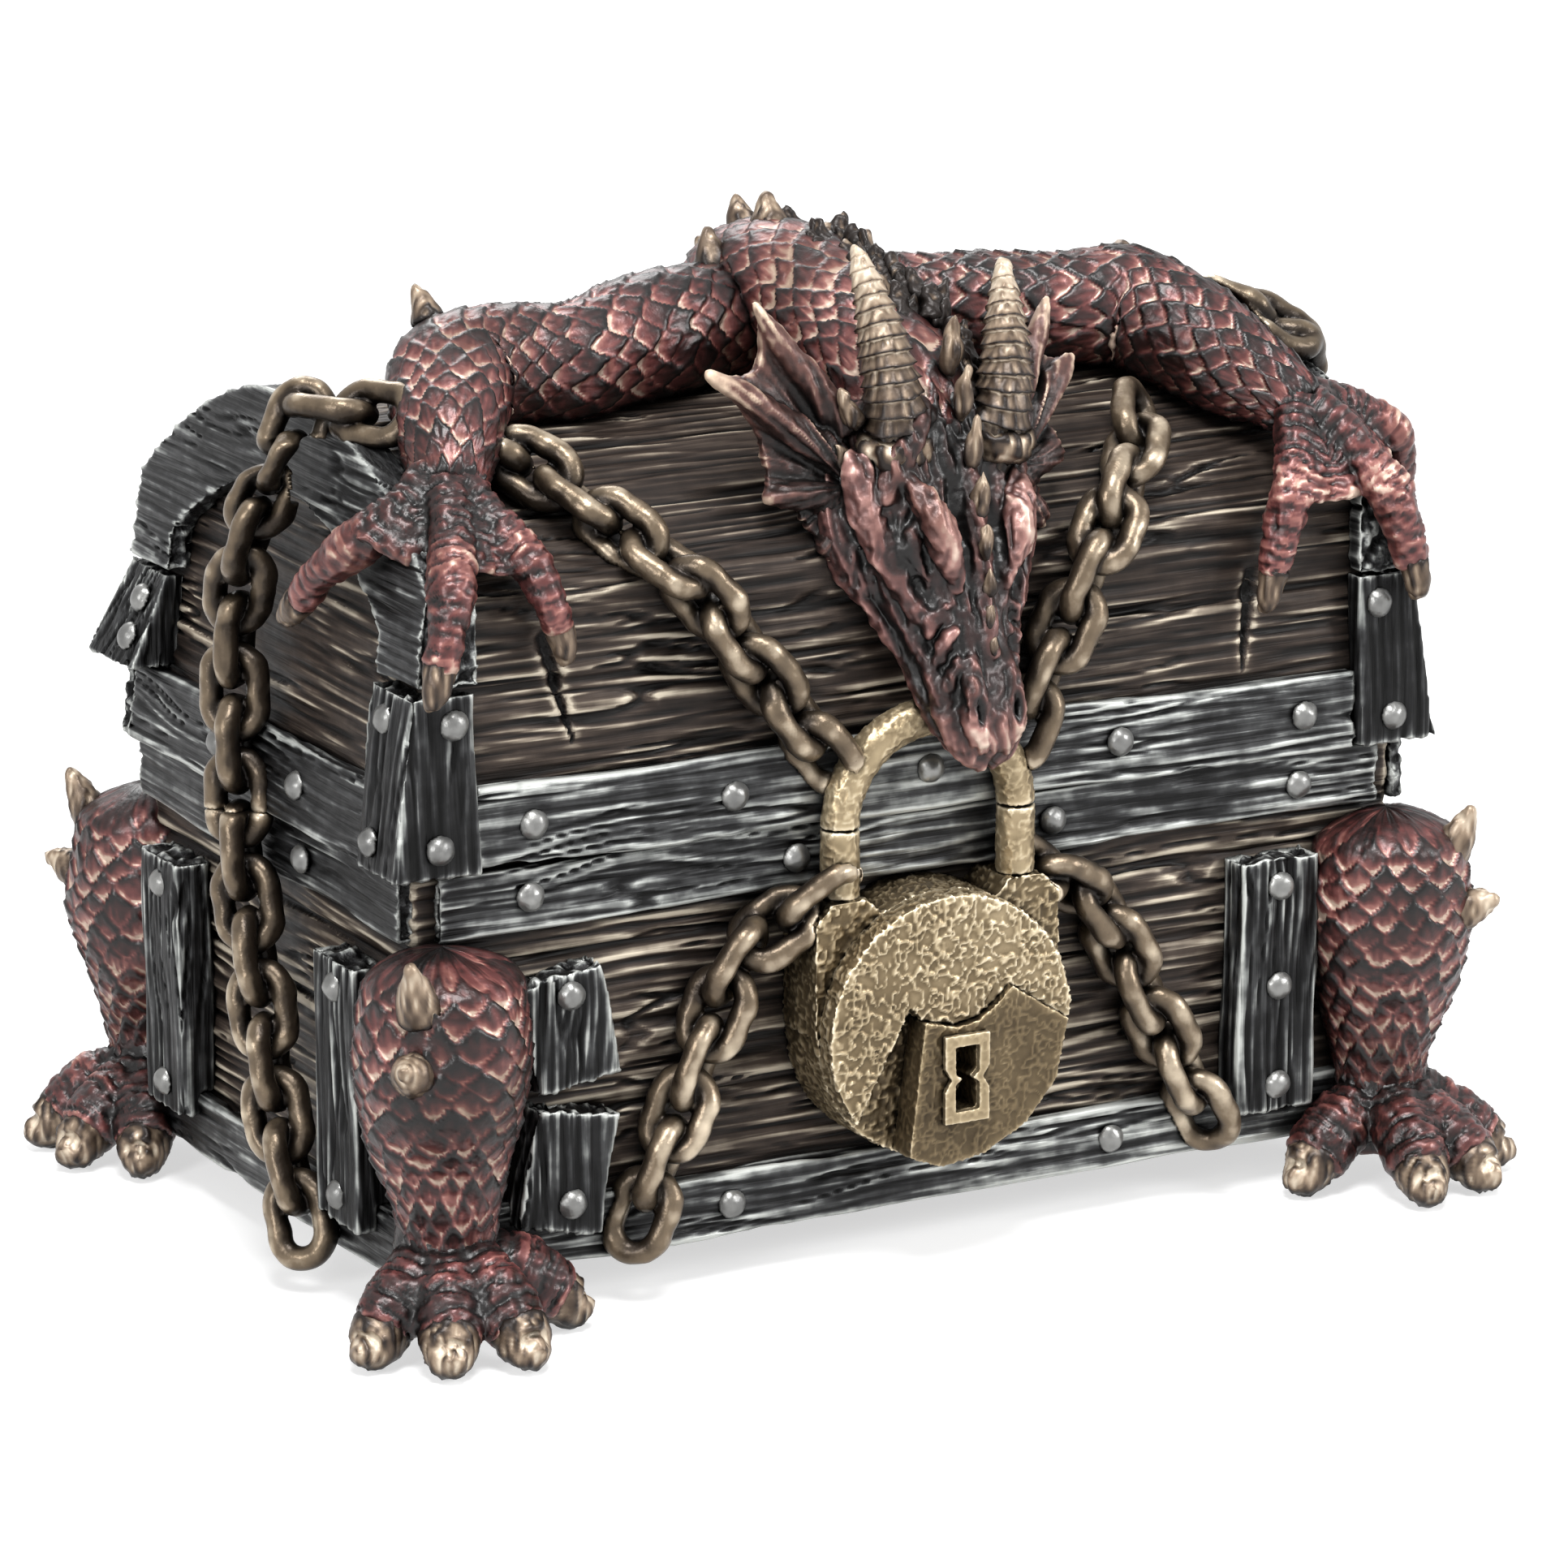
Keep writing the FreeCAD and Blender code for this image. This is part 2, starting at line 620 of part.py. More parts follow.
# share of that drop, the outward and upward parts of each spike's heading, and its share of the length
SPIKES = ((0.2, 0.4, 0.92, 1.2), (0.42, 0.88, 0.48, 0.8))


def revolved(profile):
    """A solid turned about the Z axis from (radius, height) points joined by one smooth curve."""
    points = [Vector(radius, 0, height) for radius, height in profile]
    curve = Part.BSplineCurve()
    curve.interpolate(points)
    top, bottom = Vector(0, 0, points[0].z), Vector(0, 0, points[-1].z)
    edges = [curve.toShape(), Part.LineSegment(points[-1], bottom).toShape(),
             Part.LineSegment(bottom, top).toShape(), Part.LineSegment(top, points[0]).toShape()]
    return Part.Face(Part.Wire(edges)).revolve(Vector(), Vector(0, 0, 1), 360)


leg_top = base_rail_bottom - size("leg_gap")
leg_tall = leg_top - size("ankle_height")


def leg_shape():
    """A haunch that swells under the rail and tapers to the ankle."""
    radius, ankle = size("leg_radius"), size("ankle_radius")
    return revolved([(leg_part * radius + ankle_part * ankle, leg_top - share * leg_tall)
                     for share, leg_part, ankle_part in LEG_PROFILE])


def toe_shape(heading, share):
    """One toe and its claw: from inside the ankle over a knuckle down to the table."""
    radius = size("toe_radius")
    start = 0.3 * size("ankle_radius")
    reach = share * size("toe_reach")
    path = [(start + part * reach, rise, grow) for part, rise, grow in TOE_PATH]
    path += [(start + reach + part * size("toe_claw"), rise, grow) for part, rise, grow in CLAW_PATH]
    up = Vector(0, 0, 1)
    wires = ovals([(heading * out + up * rise * radius, up, grow * radius, grow * radius)
                   for out, rise, grow in path])
    knuckles = len(TOE_PATH)
    return loft(wires[:knuckles]), loft(wires[knuckles - 1:])


def make_foot():
    """The front left foot about its own ankle, with its claws apart."""
    toe_radius, ankle = size("toe_radius"), size("ankle_radius")
    foot = revolved([(ankle, size("ankle_height")), (1.05 * ankle, 2 * toe_radius),
                     (1.2 * ankle, 0.6 * toe_radius)])
    claws = []
    for angle, share in TOES:
        bearing = math.radians(angle)
        toe, claw = toe_shape(Vector(-math.sin(bearing), -math.cos(bearing), 0), share)
        foot = foot.fuse(toe)
        claws.append(claw)
    return largest(foot.cut(floor)), [largest(claw.cut(floor)) for claw in claws]


def placed(shape, side, turn, centre):
    """A left-hand shape turned about Z, mirrored for the right-hand side and moved to its place."""
    copy = shape.copy()
    copy.rotate(Vector(), Vector(0, 0, 1), -turn)
    if side > 0:
        copy = copy.mirror(Vector(), Vector(1, 0, 0))
    copy.translate(centre)
    return copy


base_boards = [base_pieces[f"{kind}_{face}"] for kind in ("base_rail", "skirt") for face in WAYS]
base_solid = fuse([base_block] + base_boards)
batten_tools = [base_pieces[f"battens_{face}"] for face in WAYS]
leg_master = leg_shape()
foot_master, claw_masters = make_foot()
legs = []
feet = []
toe_claws = []
leg_spikes = []
for end_name, end in ENDS:
    turn = 0 if end_name == "front" else size("rear_foot_turn")
    for side_name, side in SIDES:
        stand = half_depth + size(f"{end_name}_leg_stand")
        centre = Vector(side * (half_length - size("leg_inset")), end * stand, 0)
        leg = cut_by(placed(leg_master, side, 0, centre), [base_solid] + batten_tools)
        foot = cut_by(placed(foot_master, side, turn, centre), [base_solid] + batten_tools)
        base_pieces[f"leg_{end_name}_{side_name}"] = leg
        base_pieces[f"foot_{end_name}_{side_name}"] = foot
        legs.append(leg)
        feet.append(foot)
        toe_claws += [cut_by(placed(claw, side, turn, centre), [base_solid, foot]) for claw in claw_masters]
        outward = Vector(side, end, 0).normalize()
        for drop, out, up, share in SPIKES:
            root = centre + Vector(0, 0, leg_top - drop * leg_tall) + outward * 0.7 * size("leg_radius")
            spike = Part.makeCone(size("spike_radius"), 0.2 * size("spike_radius"),
                                  share * size("spike_length") + 0.2 * size("leg_radius"), root,
                                  (outward * out + Vector(0, 0, up)).normalize())
            leg_spikes.append(cut_by(spike, [leg, base_solid]))
base_pieces["toe_claws"] = Part.makeCompound(toe_claws)
base_pieces["leg_spikes"] = Part.makeCompound(leg_spikes)


# Padlock, drawn on the front of the box: points are shares of the disc's radius from its middle

COVER = ((-0.25, 0.09), (-0.38, -0.92), (-0.1, -1.03), (0.25, -0.97), (0.6, -0.79), (0.85, -0.5),
         (0.95, -0.05), (0.47, 0.27), (0.36, 0.16), (0.2, 0.05), (0.02, 0.02))
RECESS = ((-0.34, 0.2), (-0.85, -0.75), (-0.85, -1.5), (1.5, -1.5), (1.5, -0.05), *COVER[6:], COVER[0])
KEYHOLE = (0.07, -0.36)
box_front = "sizes.box_depth / 2"
case_front = box_front + " + sizes.case_thickness"
lock_x, lock_z = size("lock_offset"), skirt_top + size("lock_clearance") + size("lock_radius")
shackle_y = -(lid_rail_face + size("shackle_wire") / 2)
ear_top = lock_z + size("lock_radius")


def lock_points(shares):
    return [(lock_x + a * size("lock_radius"), lock_z + b * size("lock_radius")) for a, b in shares]


def disc_geometry(sketch):
    sketch.addGeometry(Part.Circle(Vector(lock_x, lock_z, 0), Vector(0, 0, 1), size("lock_radius")))
    sketch.addConstraint(Sketcher.Constraint("Block", sketch.GeometryCount - 1))


def make_case():
    body = new_body("padlock_case")
    outline = new_sketch(body, "case_outline", "XZ_Plane", box_front)
    disc_geometry(outline)
    pad(body, "case_block", outline, "sizes.case_thickness")
    radius = size("ear_radius")
    for side_name, side in SIDES:
        ear = new_sketch(body, f"ear_{side_name}_outline", "XZ_Plane", box_front)
        x = lock_x + side * size("shackle_radius")
        outline_sketch(ear, [(x - radius, lock_z), (x + radius, lock_z), (x + radius, ear_top - radius / 2),
                             (x + radius / 2, ear_top), (x - radius / 2, ear_top),
                             (x - radius, ear_top - radius / 2)])
        pad(body, f"ear_{side_name}", ear, "sizes.case_thickness")
    doc.recompute()
    return body


def make_disc():
    """The front plate, with a recess that leaves the lower right to the cover."""
    body = new_body("padlock_disc")
    outline = new_sketch(body, "disc_outline", "XZ_Plane", case_front)
    disc_geometry(outline)
    pad(body, "disc_plate", outline, "sizes.disc_thickness")
    seat = new_sketch(body, "cover_seat", "XZ_Plane", case_front)
    outline_sketch(seat, lock_points(RECESS))
    pocket(body, "cover_recess", seat, reverse=True)
    doc.recompute()
    return body


def keyhole_outline(grow):
    """A keyhole drawn in at its waist, grown on every side."""
    half_width = size("keyhole_width") / 2 + grow
    half_tall = size("keyhole_height") / 2 + grow
    waist = size("keyhole_waist") / 2 + grow
    step = size("keyhole_waist") / 2 + grow / 2
    right = [(half_width, -half_tall), (half_width, -step), (waist, 0), (half_width, step),
             (half_width, half_tall)]
    left = [(-a, b) for a, b in reversed(right)]
    x, z = lock_points([KEYHOLE])[0]
    return [(x + a, z + b) for a, b in right + left]


def make_cover():
    """The lower plate: a straight left edge, a round foot on the disc's edge and a notch under the hub."""
    body = new_body("padlock_cover")
    outline = new_sketch(body, "cover_outline", "XZ_Plane", case_front)
    outline_sketch(outline, lock_points(COVER))
    pad(body, "cover_plate", outline, "sizes.cover_thickness")
    key = new_sketch(body, "keyhole_outline", "XZ_Plane", case_front)
    outline_sketch(key, keyhole_outline(0))
    pocket(body, "keyhole", key, reverse=True)
    doc.recompute()
    return body


def make_keyhole_frame():
    body = new_body("keyhole_frame")
    rim = new_sketch(body, "rim_outline", "XZ_Plane", case_front + " + sizes.cover_thickness")
    outline_sketch(rim, keyhole_outline(size("keyhole_rim")))
    outline_sketch(rim, keyhole_outline(0))
    pad(body, "rim", rim, "sizes.frame_thickness")
    doc.recompute()
    return body


lock_pieces = [make_case(), make_disc(), make_cover(), make_keyhole_frame()]
case_shape = lock_pieces[0].Shape

upright = Vector(0, 0, 1)
shackle_stubs = []
for side_name, side in SIDES:
    stub_foot = Vector(lock_x + side * size("shackle_radius"), shackle_y, ear_top)
    shackle_stubs.append(Part.makeCylinder(size("shackle_wire") / 2, seam - ear_top, stub_foot, upright))
base_pieces["shackle_stubs"] = Part.makeCompound(shackle_stubs)
arch_middle = Vector(lock_x, shackle_y, lid_bottom)
arch_foot = arch_middle - Vector(size("shackle_radius"), 0, 0)
arch_section = Part.Face(Part.Wire([Part.Circle(arch_foot, upright, size("shackle_wire") / 2).toShape()]))
shackle = arch_section.revolve(arch_middle, Vector(0, 1, 0), 180)
lid_pieces["padlock_shackle"] = shackle


# The dragon: one path of ovals from the tip of the tail to the snout, cut into its pieces

middle = size("dragon_offset")
torso_half, torso_rise = size("torso_width") / 2, size("torso_height") / 2
neck = size("neck_radius")
tilt = math.radians(size("head_tilt"))
head_way = Vector(0, -math.cos(tilt), -math.sin(tilt))
head_top = Vector(0, -math.sin(tilt), math.cos(tilt))
head_back = Vector(middle, -hip_depth + 0.6 * neck, hip_height + 0.92 * size("head_depth"))


def arch_normal(y):
    return Vector(0, y / arch_radius, math.sqrt(1 - (y / arch_radius) ** 2))


def on_arch(x, y, lift, half_width, half_thickness):
    """A station that lies over the arched planks."""
    return arch_point(x, y, lift), arch_normal(y), half_width, half_thickness


def on_head(share, half_width, half_thickness):
    """A station along the head, from the back of the skull to the snout."""
    centre = head_back + head_way * share * size("head_length")
    return centre, head_top, half_width * size("head_width") / 2, half_thickness * size("head_depth") / 2


# sideways share of the tail's length, place along the lid's depth and share of the torso's size
TAIL = ((0.55, 0.7, 0.3), (0.34, 0.86, 0.44), (0.12, 0.82, 0.66))
# place along the lid's depth, lift and half height in torso heights, half width in torso widths
TORSO = ((0.58, 0.72, 0.78, 0.72), (0.3, 0.9, 0.95, 0.95), (0, 0.96, 1, 1), (-0.27, 1, 1, 0.9))
# share of the head's length, with shares of its width and its depth
HEAD = ((0, 0.82, 0.92), (0.2, 1, 1), (0.42, 0.86, 0.98), (0.62, 0.64, 0.78), (0.8, 0.5, 0.6),
        (0.93, 0.44, 0.5), (1, 0.24, 0.28))
spine_path = [on_arch(middle + out * size("tail_length"), back * hip_depth, 0.95 * part * torso_rise,
                      0.75 * part * torso_half, part * torso_rise) for out, back, part in TAIL]
spine_path += [on_arch(middle, back * hip_depth, up * torso_rise, across * torso_half, tall * torso_rise)
               for back, up, tall, across in TORSO]
spine_path.append(on_arch(middle, -0.52 * hip_depth, 1.1 * torso_rise, 1.03 * neck, 0.95 * neck))
spine_path += [on_head(*station) for station in HEAD]
spine_wires = ovals(spine_path)
# each piece of the dragon with its first and last oval; neighbours share one
SPANS = (("tail", 0, 3), ("torso", 3, 6), ("neck", 6, 8), ("head", 8, 11), ("snout", 11, 14))
trunk = {}
for label, first, last in SPANS:
    tools = [lid_solid, lid_pieces["lid_rail_front"], shackle]
    trunk[label] = cut_by(loft(spine_wires[first:last + 1]), tools + list(trunk.values()))
    lid_pieces[f"dragon_{label}"] = trunk[label]

# Horns, ears and the spines along the back

# upward, outward and backward shares of the horn's length, share of its radius
HORN_BEND = ((-0.1, 0, 0, 1), (0.4, 0.02, 0.1, 0.9), (0.78, 0.06, 0.26, 0.62), (1.05, 0.12, 0.48, 0.2))
# outward and upward shares of the fan: the bony tips, and the webs drawn in between them
EAR_TIPS = ((0, -0.3), (0.64, -0.06), (0.94, 0.74), (0.5, 1.12), (0, 0.3))
EAR_WEBS = ((0.34, -0.12), (0.64, 0.3), (0.62, 0.84), (0.22, 0.64))
EAR_SWEEP = 18
horns = []
ears = []
horn_root = head_back + head_way * 0.1 * size("head_length") + head_top * 0.3 * size("head_depth")
fan_root = head_back + head_way * 0.2 * size("head_length")
for side_name, side in SIDES:
    length, radius, fan = size("horn_length"), size("horn_radius"), size("ear_fan")
    root = horn_root + Vector(side * size("horn_spread"), 0, 0)
    stations = [(root + Vector(side * out, back, up) * length, Vector(0, -1, 0), part * radius, part * radius)
                for up, out, back, part in HORN_BEND]
    horns.append(cut_by(loft(ovals(stations)), [lid_solid] + list(trunk.values())))
    root = fan_root + Vector(side * 0.42 * size("head_width"), 0, 0)
    tips = [root + Vector(side * out, 0, up) * fan for out, up in EAR_TIPS]
    webs = [root + Vector(side * out, 0, up) * fan for out, up in EAR_WEBS]
    edges = [Part.Arc(start, web, end).toShape() for start, web, end in zip(tips, webs, tips[1:])]
    edges.append(Part.LineSegment(tips[-1], tips[0]).toShape())
    ear = Part.Face(Part.Wire(edges)).extrude(Vector(0, size("ear_thickness"), 0))
    ear.rotate(root, upright, side * EAR_SWEEP)
    ears.append(cut_by(ear, [lid_solid, horns[-1]] + list(trunk.values())))
lid_pieces["dragon_horns"] = Part.makeCompound(horns)
lid_pieces["dragon_ears"] = Part.makeCompound(ears)

spines = []
for centre, normal, _, half_thickness in spine_path[len(TAIL):len(TAIL) + len(TORSO) + 1]:
    spine = Part.makeCone(size("spine_radius"), 0.15 * size("spine_radius"),
                          size("spine_length") + 0.25 * half_thickness,
                          centre + normal * 0.75 * half_thickness, normal + Vector(0, 0.35, 0))
    spines.append(cut_by(spine, list(trunk.values())))
lid_pieces["dragon_spines"] = Part.makeCompound(spines)

# Arms, hands and claws. Finger joints are measured from the lid's upper front corner: inward, back, up.

WRIST = {"left": (5.2, 8.8), "right": (6.2, 5.2)}
ELBOW = {"left": (12.2, 22.4), "right": (12.8, 19.4)}
FINGERS = {
    "left": (((-1.1, 5.2, 7.3), (-4.3, 8.2, 3.8), (-5.3, 14.2, -0.7), (-5.6, 17.5, -4.2)),
             ((2.1, 1.4, 6.3), (-0.1, -3.7, 1.3), (-1.3, -4.9, -4.1), (-1.9, -4.6, -8.7)),
             ((6.6, 2.4, 6.3), (8.9, -2.8, 1.8), (10.5, -3.3, -3.1), (11.6, -2.6, -7.3))),
    "right": (((9.4, -1.6, 4.6), (11.7, -3.5, -0.7), (12.7, -3.4, -5.2), (13.4, -2.7, -9.2)),
              ((2.9, -1.9, 4.8), (0.7, -4.3, 0.1), (-1.1, -5.1, -4.9), (-1.9, -4.7, -9.4)),
              ((0.9, 3.2, 7.6), (-3.1, 3.2, 4.6), (-4.9, 4.4, 0.3), (-5.7, 5.2, -3.7))),
}
# share of the way from shoulder to elbow or from elbow to wrist, half width and half height in arm radii
UPPER_ARM = ((0, 1.2, 1.05), (0.36, 1.36, 1.12), (0.7, 1.2, 1.05), (1, 1.06, 1.02))
FOREARM = ((0.36, 1, 1), (0.7, 0.82, 0.84))
# share of its half height that the middle of an arm lies above the planks
ARM_LIFT = 0.88
# share of the finger's radius at its root and three joints, at the middle of its claw and at its tip
FINGER_RADII = (0.9, 1, 1.02, 0.9, 0.66, 0.2)
lid_skin = [lid_solid] + [shape for name, shape in lid_pieces.items()
                          if name.startswith(("lid_rail", "lid_band", "corner_strap"))]
body_tools = list(trunk.values()) + horns + ears + spines
claws = []
arms = []
hands = []
for side_name, side in SIDES:
    radius, wrist_radius, finger = size("arm_radius"), size("wrist_radius"), size("finger_radius")
    shoulder = Vector(middle + side * 0.4 * torso_half, 0.04 * hip_depth, 0)
    inward, back = ELBOW[side_name]
    elbow = Vector(side * (hip_length - inward), -hip_depth + back, 0)
    inward, back = WRIST[side_name]
    wrist = Vector(side * (hip_length - inward), -hip_depth + back, 0)
    spots = [(shoulder + (elbow - shoulder) * share, across, tall) for share, across, tall in UPPER_ARM]
    spots += [(elbow + (wrist - elbow) * share, across, tall) for share, across, tall in FOREARM]
    path = [on_arch(spot.x, spot.y, ARM_LIFT * tall * radius, across * radius, tall * radius)
            for spot, across, tall in spots]
    path.append(on_arch(wrist.x, wrist.y, 1.15 * wrist_radius, wrist_radius, wrist_radius))
    palm_y = wrist.y - 1.1 * wrist_radius
    path.append(on_arch(wrist.x, palm_y, 0.95 * wrist_radius, 1.05 * wrist_radius, 0.8 * wrist_radius))
    palm = path[-1][0]
    wires = ovals(path)
    elbow_ring, wrist_ring = len(UPPER_ARM) - 1, len(UPPER_ARM) + len(FOREARM)
    arm = fuse([loft(wires[:elbow_ring + 1]), loft(wires[elbow_ring:wrist_ring + 1])])
    arm = cut_by(arm, lid_skin + body_tools)
    hand = loft(wires[wrist_ring:])
    corner = Vector(side * hip_length, -hip_depth, hip_height)
    hand_claws = []
    for joints in FINGERS[side_name]:
        spots = [corner + Vector(-side * inward, back, up) for inward, back, up in joints]
        spots.insert(0, palm + (spots[0] - palm) * 0.4)
        spots.insert(-1, (spots[-2] + spots[-1]) * 0.5)
        normal = Vector(side, -1, 1).normalize()
        rings = ovals([(spot, normal, part * finger, part * finger)
                       for spot, part in zip(spots, FINGER_RADII)])
        hand = hand.fuse(loft(rings[:4]))
        hand_claws.append(loft(rings[3:]))
    hand = cut_by(hand, lid_skin + [arm])
    claws += [cut_by(claw, lid_skin + [hand]) for claw in hand_claws]
    arms.append(arm)
    hands.append(hand)
    lid_pieces[f"dragon_arm_{side_name}"] = arm
    lid_pieces[f"dragon_hand_{side_name}"] = hand
lid_pieces["dragon_claws"] = Part.makeCompound(claws)


# Chains: stadium links, each turned against the next, sunk into what they lie on as in the casting

def link_shape():
    """One link about the origin, its long way along X and its face towards Z."""
    wire = size("chain_wire") / 2
    bend = size("chain_wire") + size("chain_clearance")
    straight = size("link_opening") + size("chain_wire") - 2 * bend
    sides = []
    for way in (-1, 1):
        sides.append(Part.makeCylinder(wire, straight, Vector(-straight / 2, way * bend, 0), Vector(1, 0, 0)))
        end = Part.makeTorus(bend, wire, Vector(), Vector(0, 0, 1), -180, 180, 180)
        end.rotate(Vector(), Vector(0, 0, 1), -90 if way > 0 else 90)
        end.translate(Vector(way * straight / 2, 0, 0))
        sides.append(end)
    return fuse(sides)


link_master = link_shape()
pitch = size("link_opening") - size("chain_clearance")


def chain(path):
    """Links along a path of points and outward normals, at one pitch, rolled left and right in turn."""
    lengths = [0.0]
    for (start, _), (end, _) in zip(path, path[1:]):
        lengths.append(lengths[-1] + (end - start).Length)

    def along(distance):
        step = next((i for i in range(1, len(lengths) - 1) if lengths[i] >= distance), len(lengths) - 1)
        share = (distance - lengths[step - 1]) / (lengths[step] - lengths[step - 1])
        return (path[step - 1][0] + (path[step][0] - path[step - 1][0]) * share,
                path[step - 1][1] + (path[step][1] - path[step - 1][1]) * share)

    links = []
    for number in range(int((lengths[-1] - pitch) / pitch) + 1):
        distance = pitch * (number + 0.5)
        before, normal = along(distance - pitch / 2)
        after, _ = along(distance + pitch / 2)
        centre, normal = along(distance)
        ahead = (after - before).normalize()
        side = normal.cross(ahead).normalize()
        face = ahead.cross(side)
        link = link_master.copy()
        link.rotate(Vector(), Vector(1, 0, 0), size("link_roll") if number % 2 else -size("link_roll"))
        link.transformShape(FreeCAD.Matrix(ahead.x, side.x, face.x, centre.x,
                                           ahead.y, side.y, face.y, centre.y,
                                           ahead.z, side.z, face.z, centre.z, 0, 0, 0, 1))
        links.append(link)
    return links


def seated(links, tools):
    """Links without what they are sunk into or pressed against; one that is mostly hidden is left out."""
    kept = []
    for link in links:
        whole = link.Volume
        shape = link
        for tool in tools + kept[-2:]:
            if near(shape, tool):
                rest = shape.cut(tool)
                if not rest.Solids:
                    shape = None
                    break
                shape = largest(rest)
        if shape is not None and shape.Volume > 0.35 * whole:
            kept.append(shape)
    return kept


def parted(links, half):
    """The parts of the links on one side of the seam."""
    return [link.common(half) for link in links if link.common(half).Solids]


def clear_of(rivets, tools):
    """The rivets that nothing lies over."""
    return [rivet for rivet in rivets
            if not any(near(rivet, tool) and rivet.common(tool).Solids for tool in tools)]


# the chains over the front of the lid: shares of the box's length at the hip, then of length and lid depth
FRONT_HIP = {"left": 0.24, "right": 0.175}
FRONT_TOP = {"left": ((0.34, -0.66), (0.4, -0.42)), "right": ((0.235, -0.86), (0.29, -0.55))}
# the chains down the ends: shares of the lid's depth from the crown to the table
END_DRIFT = {"left": (-0.12, 0.16, 0.06, 0.04, -0.06, -0.3, -0.5),
             "right": (-0.3, -0.5, -0.3, -0.1, -0.06, -0.3, -0.5)}
BASE_FRONT = 0.31
lift = size("chain_lift")
strap_seat, rail_seat = lift + size("strap_thickness"), lift + size("rail_thickness")
front_up = Vector(0, -1, 0)
lid_obstacles = lid_skin + list(trunk.values()) + horns + ears + spines + arms + hands + claws + [shackle]
limbs = legs + feet + toe_claws + leg_spikes
base_obstacles = [base_solid, case_shape] + shackle_stubs + limbs + batten_tools
above = block(-wide, wide, -wide, wide, lid_bottom, wide)
below = block(-wide, wide, -wide, wide, -wide, seam)
lid_chains = []
base_chains = []
for side_name, side in SIDES:
    lock_edge = lock_x + side * size("shackle_radius")
    length = side * size("box_length")
    front_path = [(lid_front_point(lock_edge, lid_bottom + pitch, lift), front_up),
                  (lid_front_point(FRONT_HIP[side_name] * length, hip_height, lift), front_up)]
    for out, back in FRONT_TOP[side_name]:
        front_path.append((arch_point(out * length, back * hip_depth, lift), arch_normal(back * hip_depth)))
    front_links = seated(chain(front_path), lid_obstacles)
    end_up = Vector(side, 0, 0)
    edge_x = hip_length - size("lid_arch_rise") * end_slope
    drift = [share * hip_depth for share in END_DRIFT[side_name]]
    end_x = side * (half_length + rail_seat)
    end_path = [(arch_point(side * (edge_x - pitch), drift[0], strap_seat), arch_normal(0)),
                (arch_point(side * edge_x, drift[1], strap_seat), Vector(side, 0, 1).normalize()),
                (lid_end_point(side, drift[2], hip_height, strap_seat), end_up),
                (lid_end_point(side, drift[3], lid_rail_top + pitch, rail_seat), end_up),
                (Vector(end_x, drift[4], seam - pitch), end_up),
                (Vector(end_x, drift[5], skirt_top + pitch), end_up),
                (Vector(end_x, drift[6], size("box_bottom")), end_up)]
    end_links = chain(end_path)
    upper = front_links + seated(parted(end_links, above), lid_obstacles + front_links)
    lower = seated(parted(end_links, below), base_obstacles)
    front_y = -half_depth - lift
    base_path = [(Vector(lock_edge, -half_depth - rail_seat, seam - pitch), front_up),
                 (Vector(lock_edge + side * 2 * pitch, front_y, base_rail_bottom - pitch), front_up),
                 (Vector(BASE_FRONT * length, front_y, size("box_bottom")), front_up)]
    front_lower = seated(chain(base_path), base_obstacles)
    lid_pieces[f"chain_lid_{side_name}"] = Part.makeCompound(upper)
    base_pieces[f"chain_base_{side_name}"] = Part.makeCompound(lower)
    base_pieces[f"chain_base_front_{side_name}"] = Part.makeCompound(front_lower)
    lid_chains += upper
    base_chains += lower + front_lower
lid_pieces["lid_rivets"] = Part.makeCompound(clear_of(lid_rivets, lid_obstacles[len(lid_skin):] + lid_chains))
base_pieces["base_rivets"] = Part.makeCompound(
    clear_of(base_rivets, [case_shape] + shackle_stubs + limbs + base_chains))


# The end boards are alike on both ends, so each kind is one group

for kind in ("base_rail", "skirt"):
    pair = [base_pieces.pop(f"{kind}_{side_name}") for side_name, _ in SIDES]
    base_pieces[f"{kind}_ends"] = Part.makeCompound(pair)

# Move the origin under the middle of the feet, check everything, then write one file for each piece

pieces = [base_box, lid_shell] + lock_pieces
pieces += [solid_feature(label, shape) for label, shape in base_pieces.items()]
pieces += [solid_feature(label, shape) for label, shape in lid_pieces.items()]
stance = Part.makeCompound(limbs).optimalBoundingBox()
for piece in pieces:
    piece.Placement.Base = Vector(0, -(stance.YMin + stance.YMax) / 2, 0)
doc.recompute()
for item in doc.Objects:
    if "Invalid" in item.State or "Error" in item.State:
        raise RuntimeError(f"{item.Label} failed: {item.State}")
for piece in pieces:
    if piece.Shape.isNull() or not piece.Shape.isValid() or not piece.Shape.Solids:
        raise RuntimeError(f"{piece.Label} has no valid solid")
os.makedirs("parts", exist_ok=True)
for piece in pieces:
    piece.Shape.exportStep(f"parts/{piece.Label}.step")
print(len(pieces), "pieces,", sum(len(piece.Shape.Solids) for piece in pieces), "solids")
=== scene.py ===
# %% [markdown]
# The chest is a small cast-resin box: planks and boards, chains, a padlock and a dragon, all cast with their
# texture and then painted dark and brushed with a pale metallic paint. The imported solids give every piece
# its place. This lesson lays finely meshed, carved and painted skins over them, in the same frame. Sculpting
# by hand would do it too, but carving by formula can be run again and changed number by number.

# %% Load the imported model
import itertools
import math

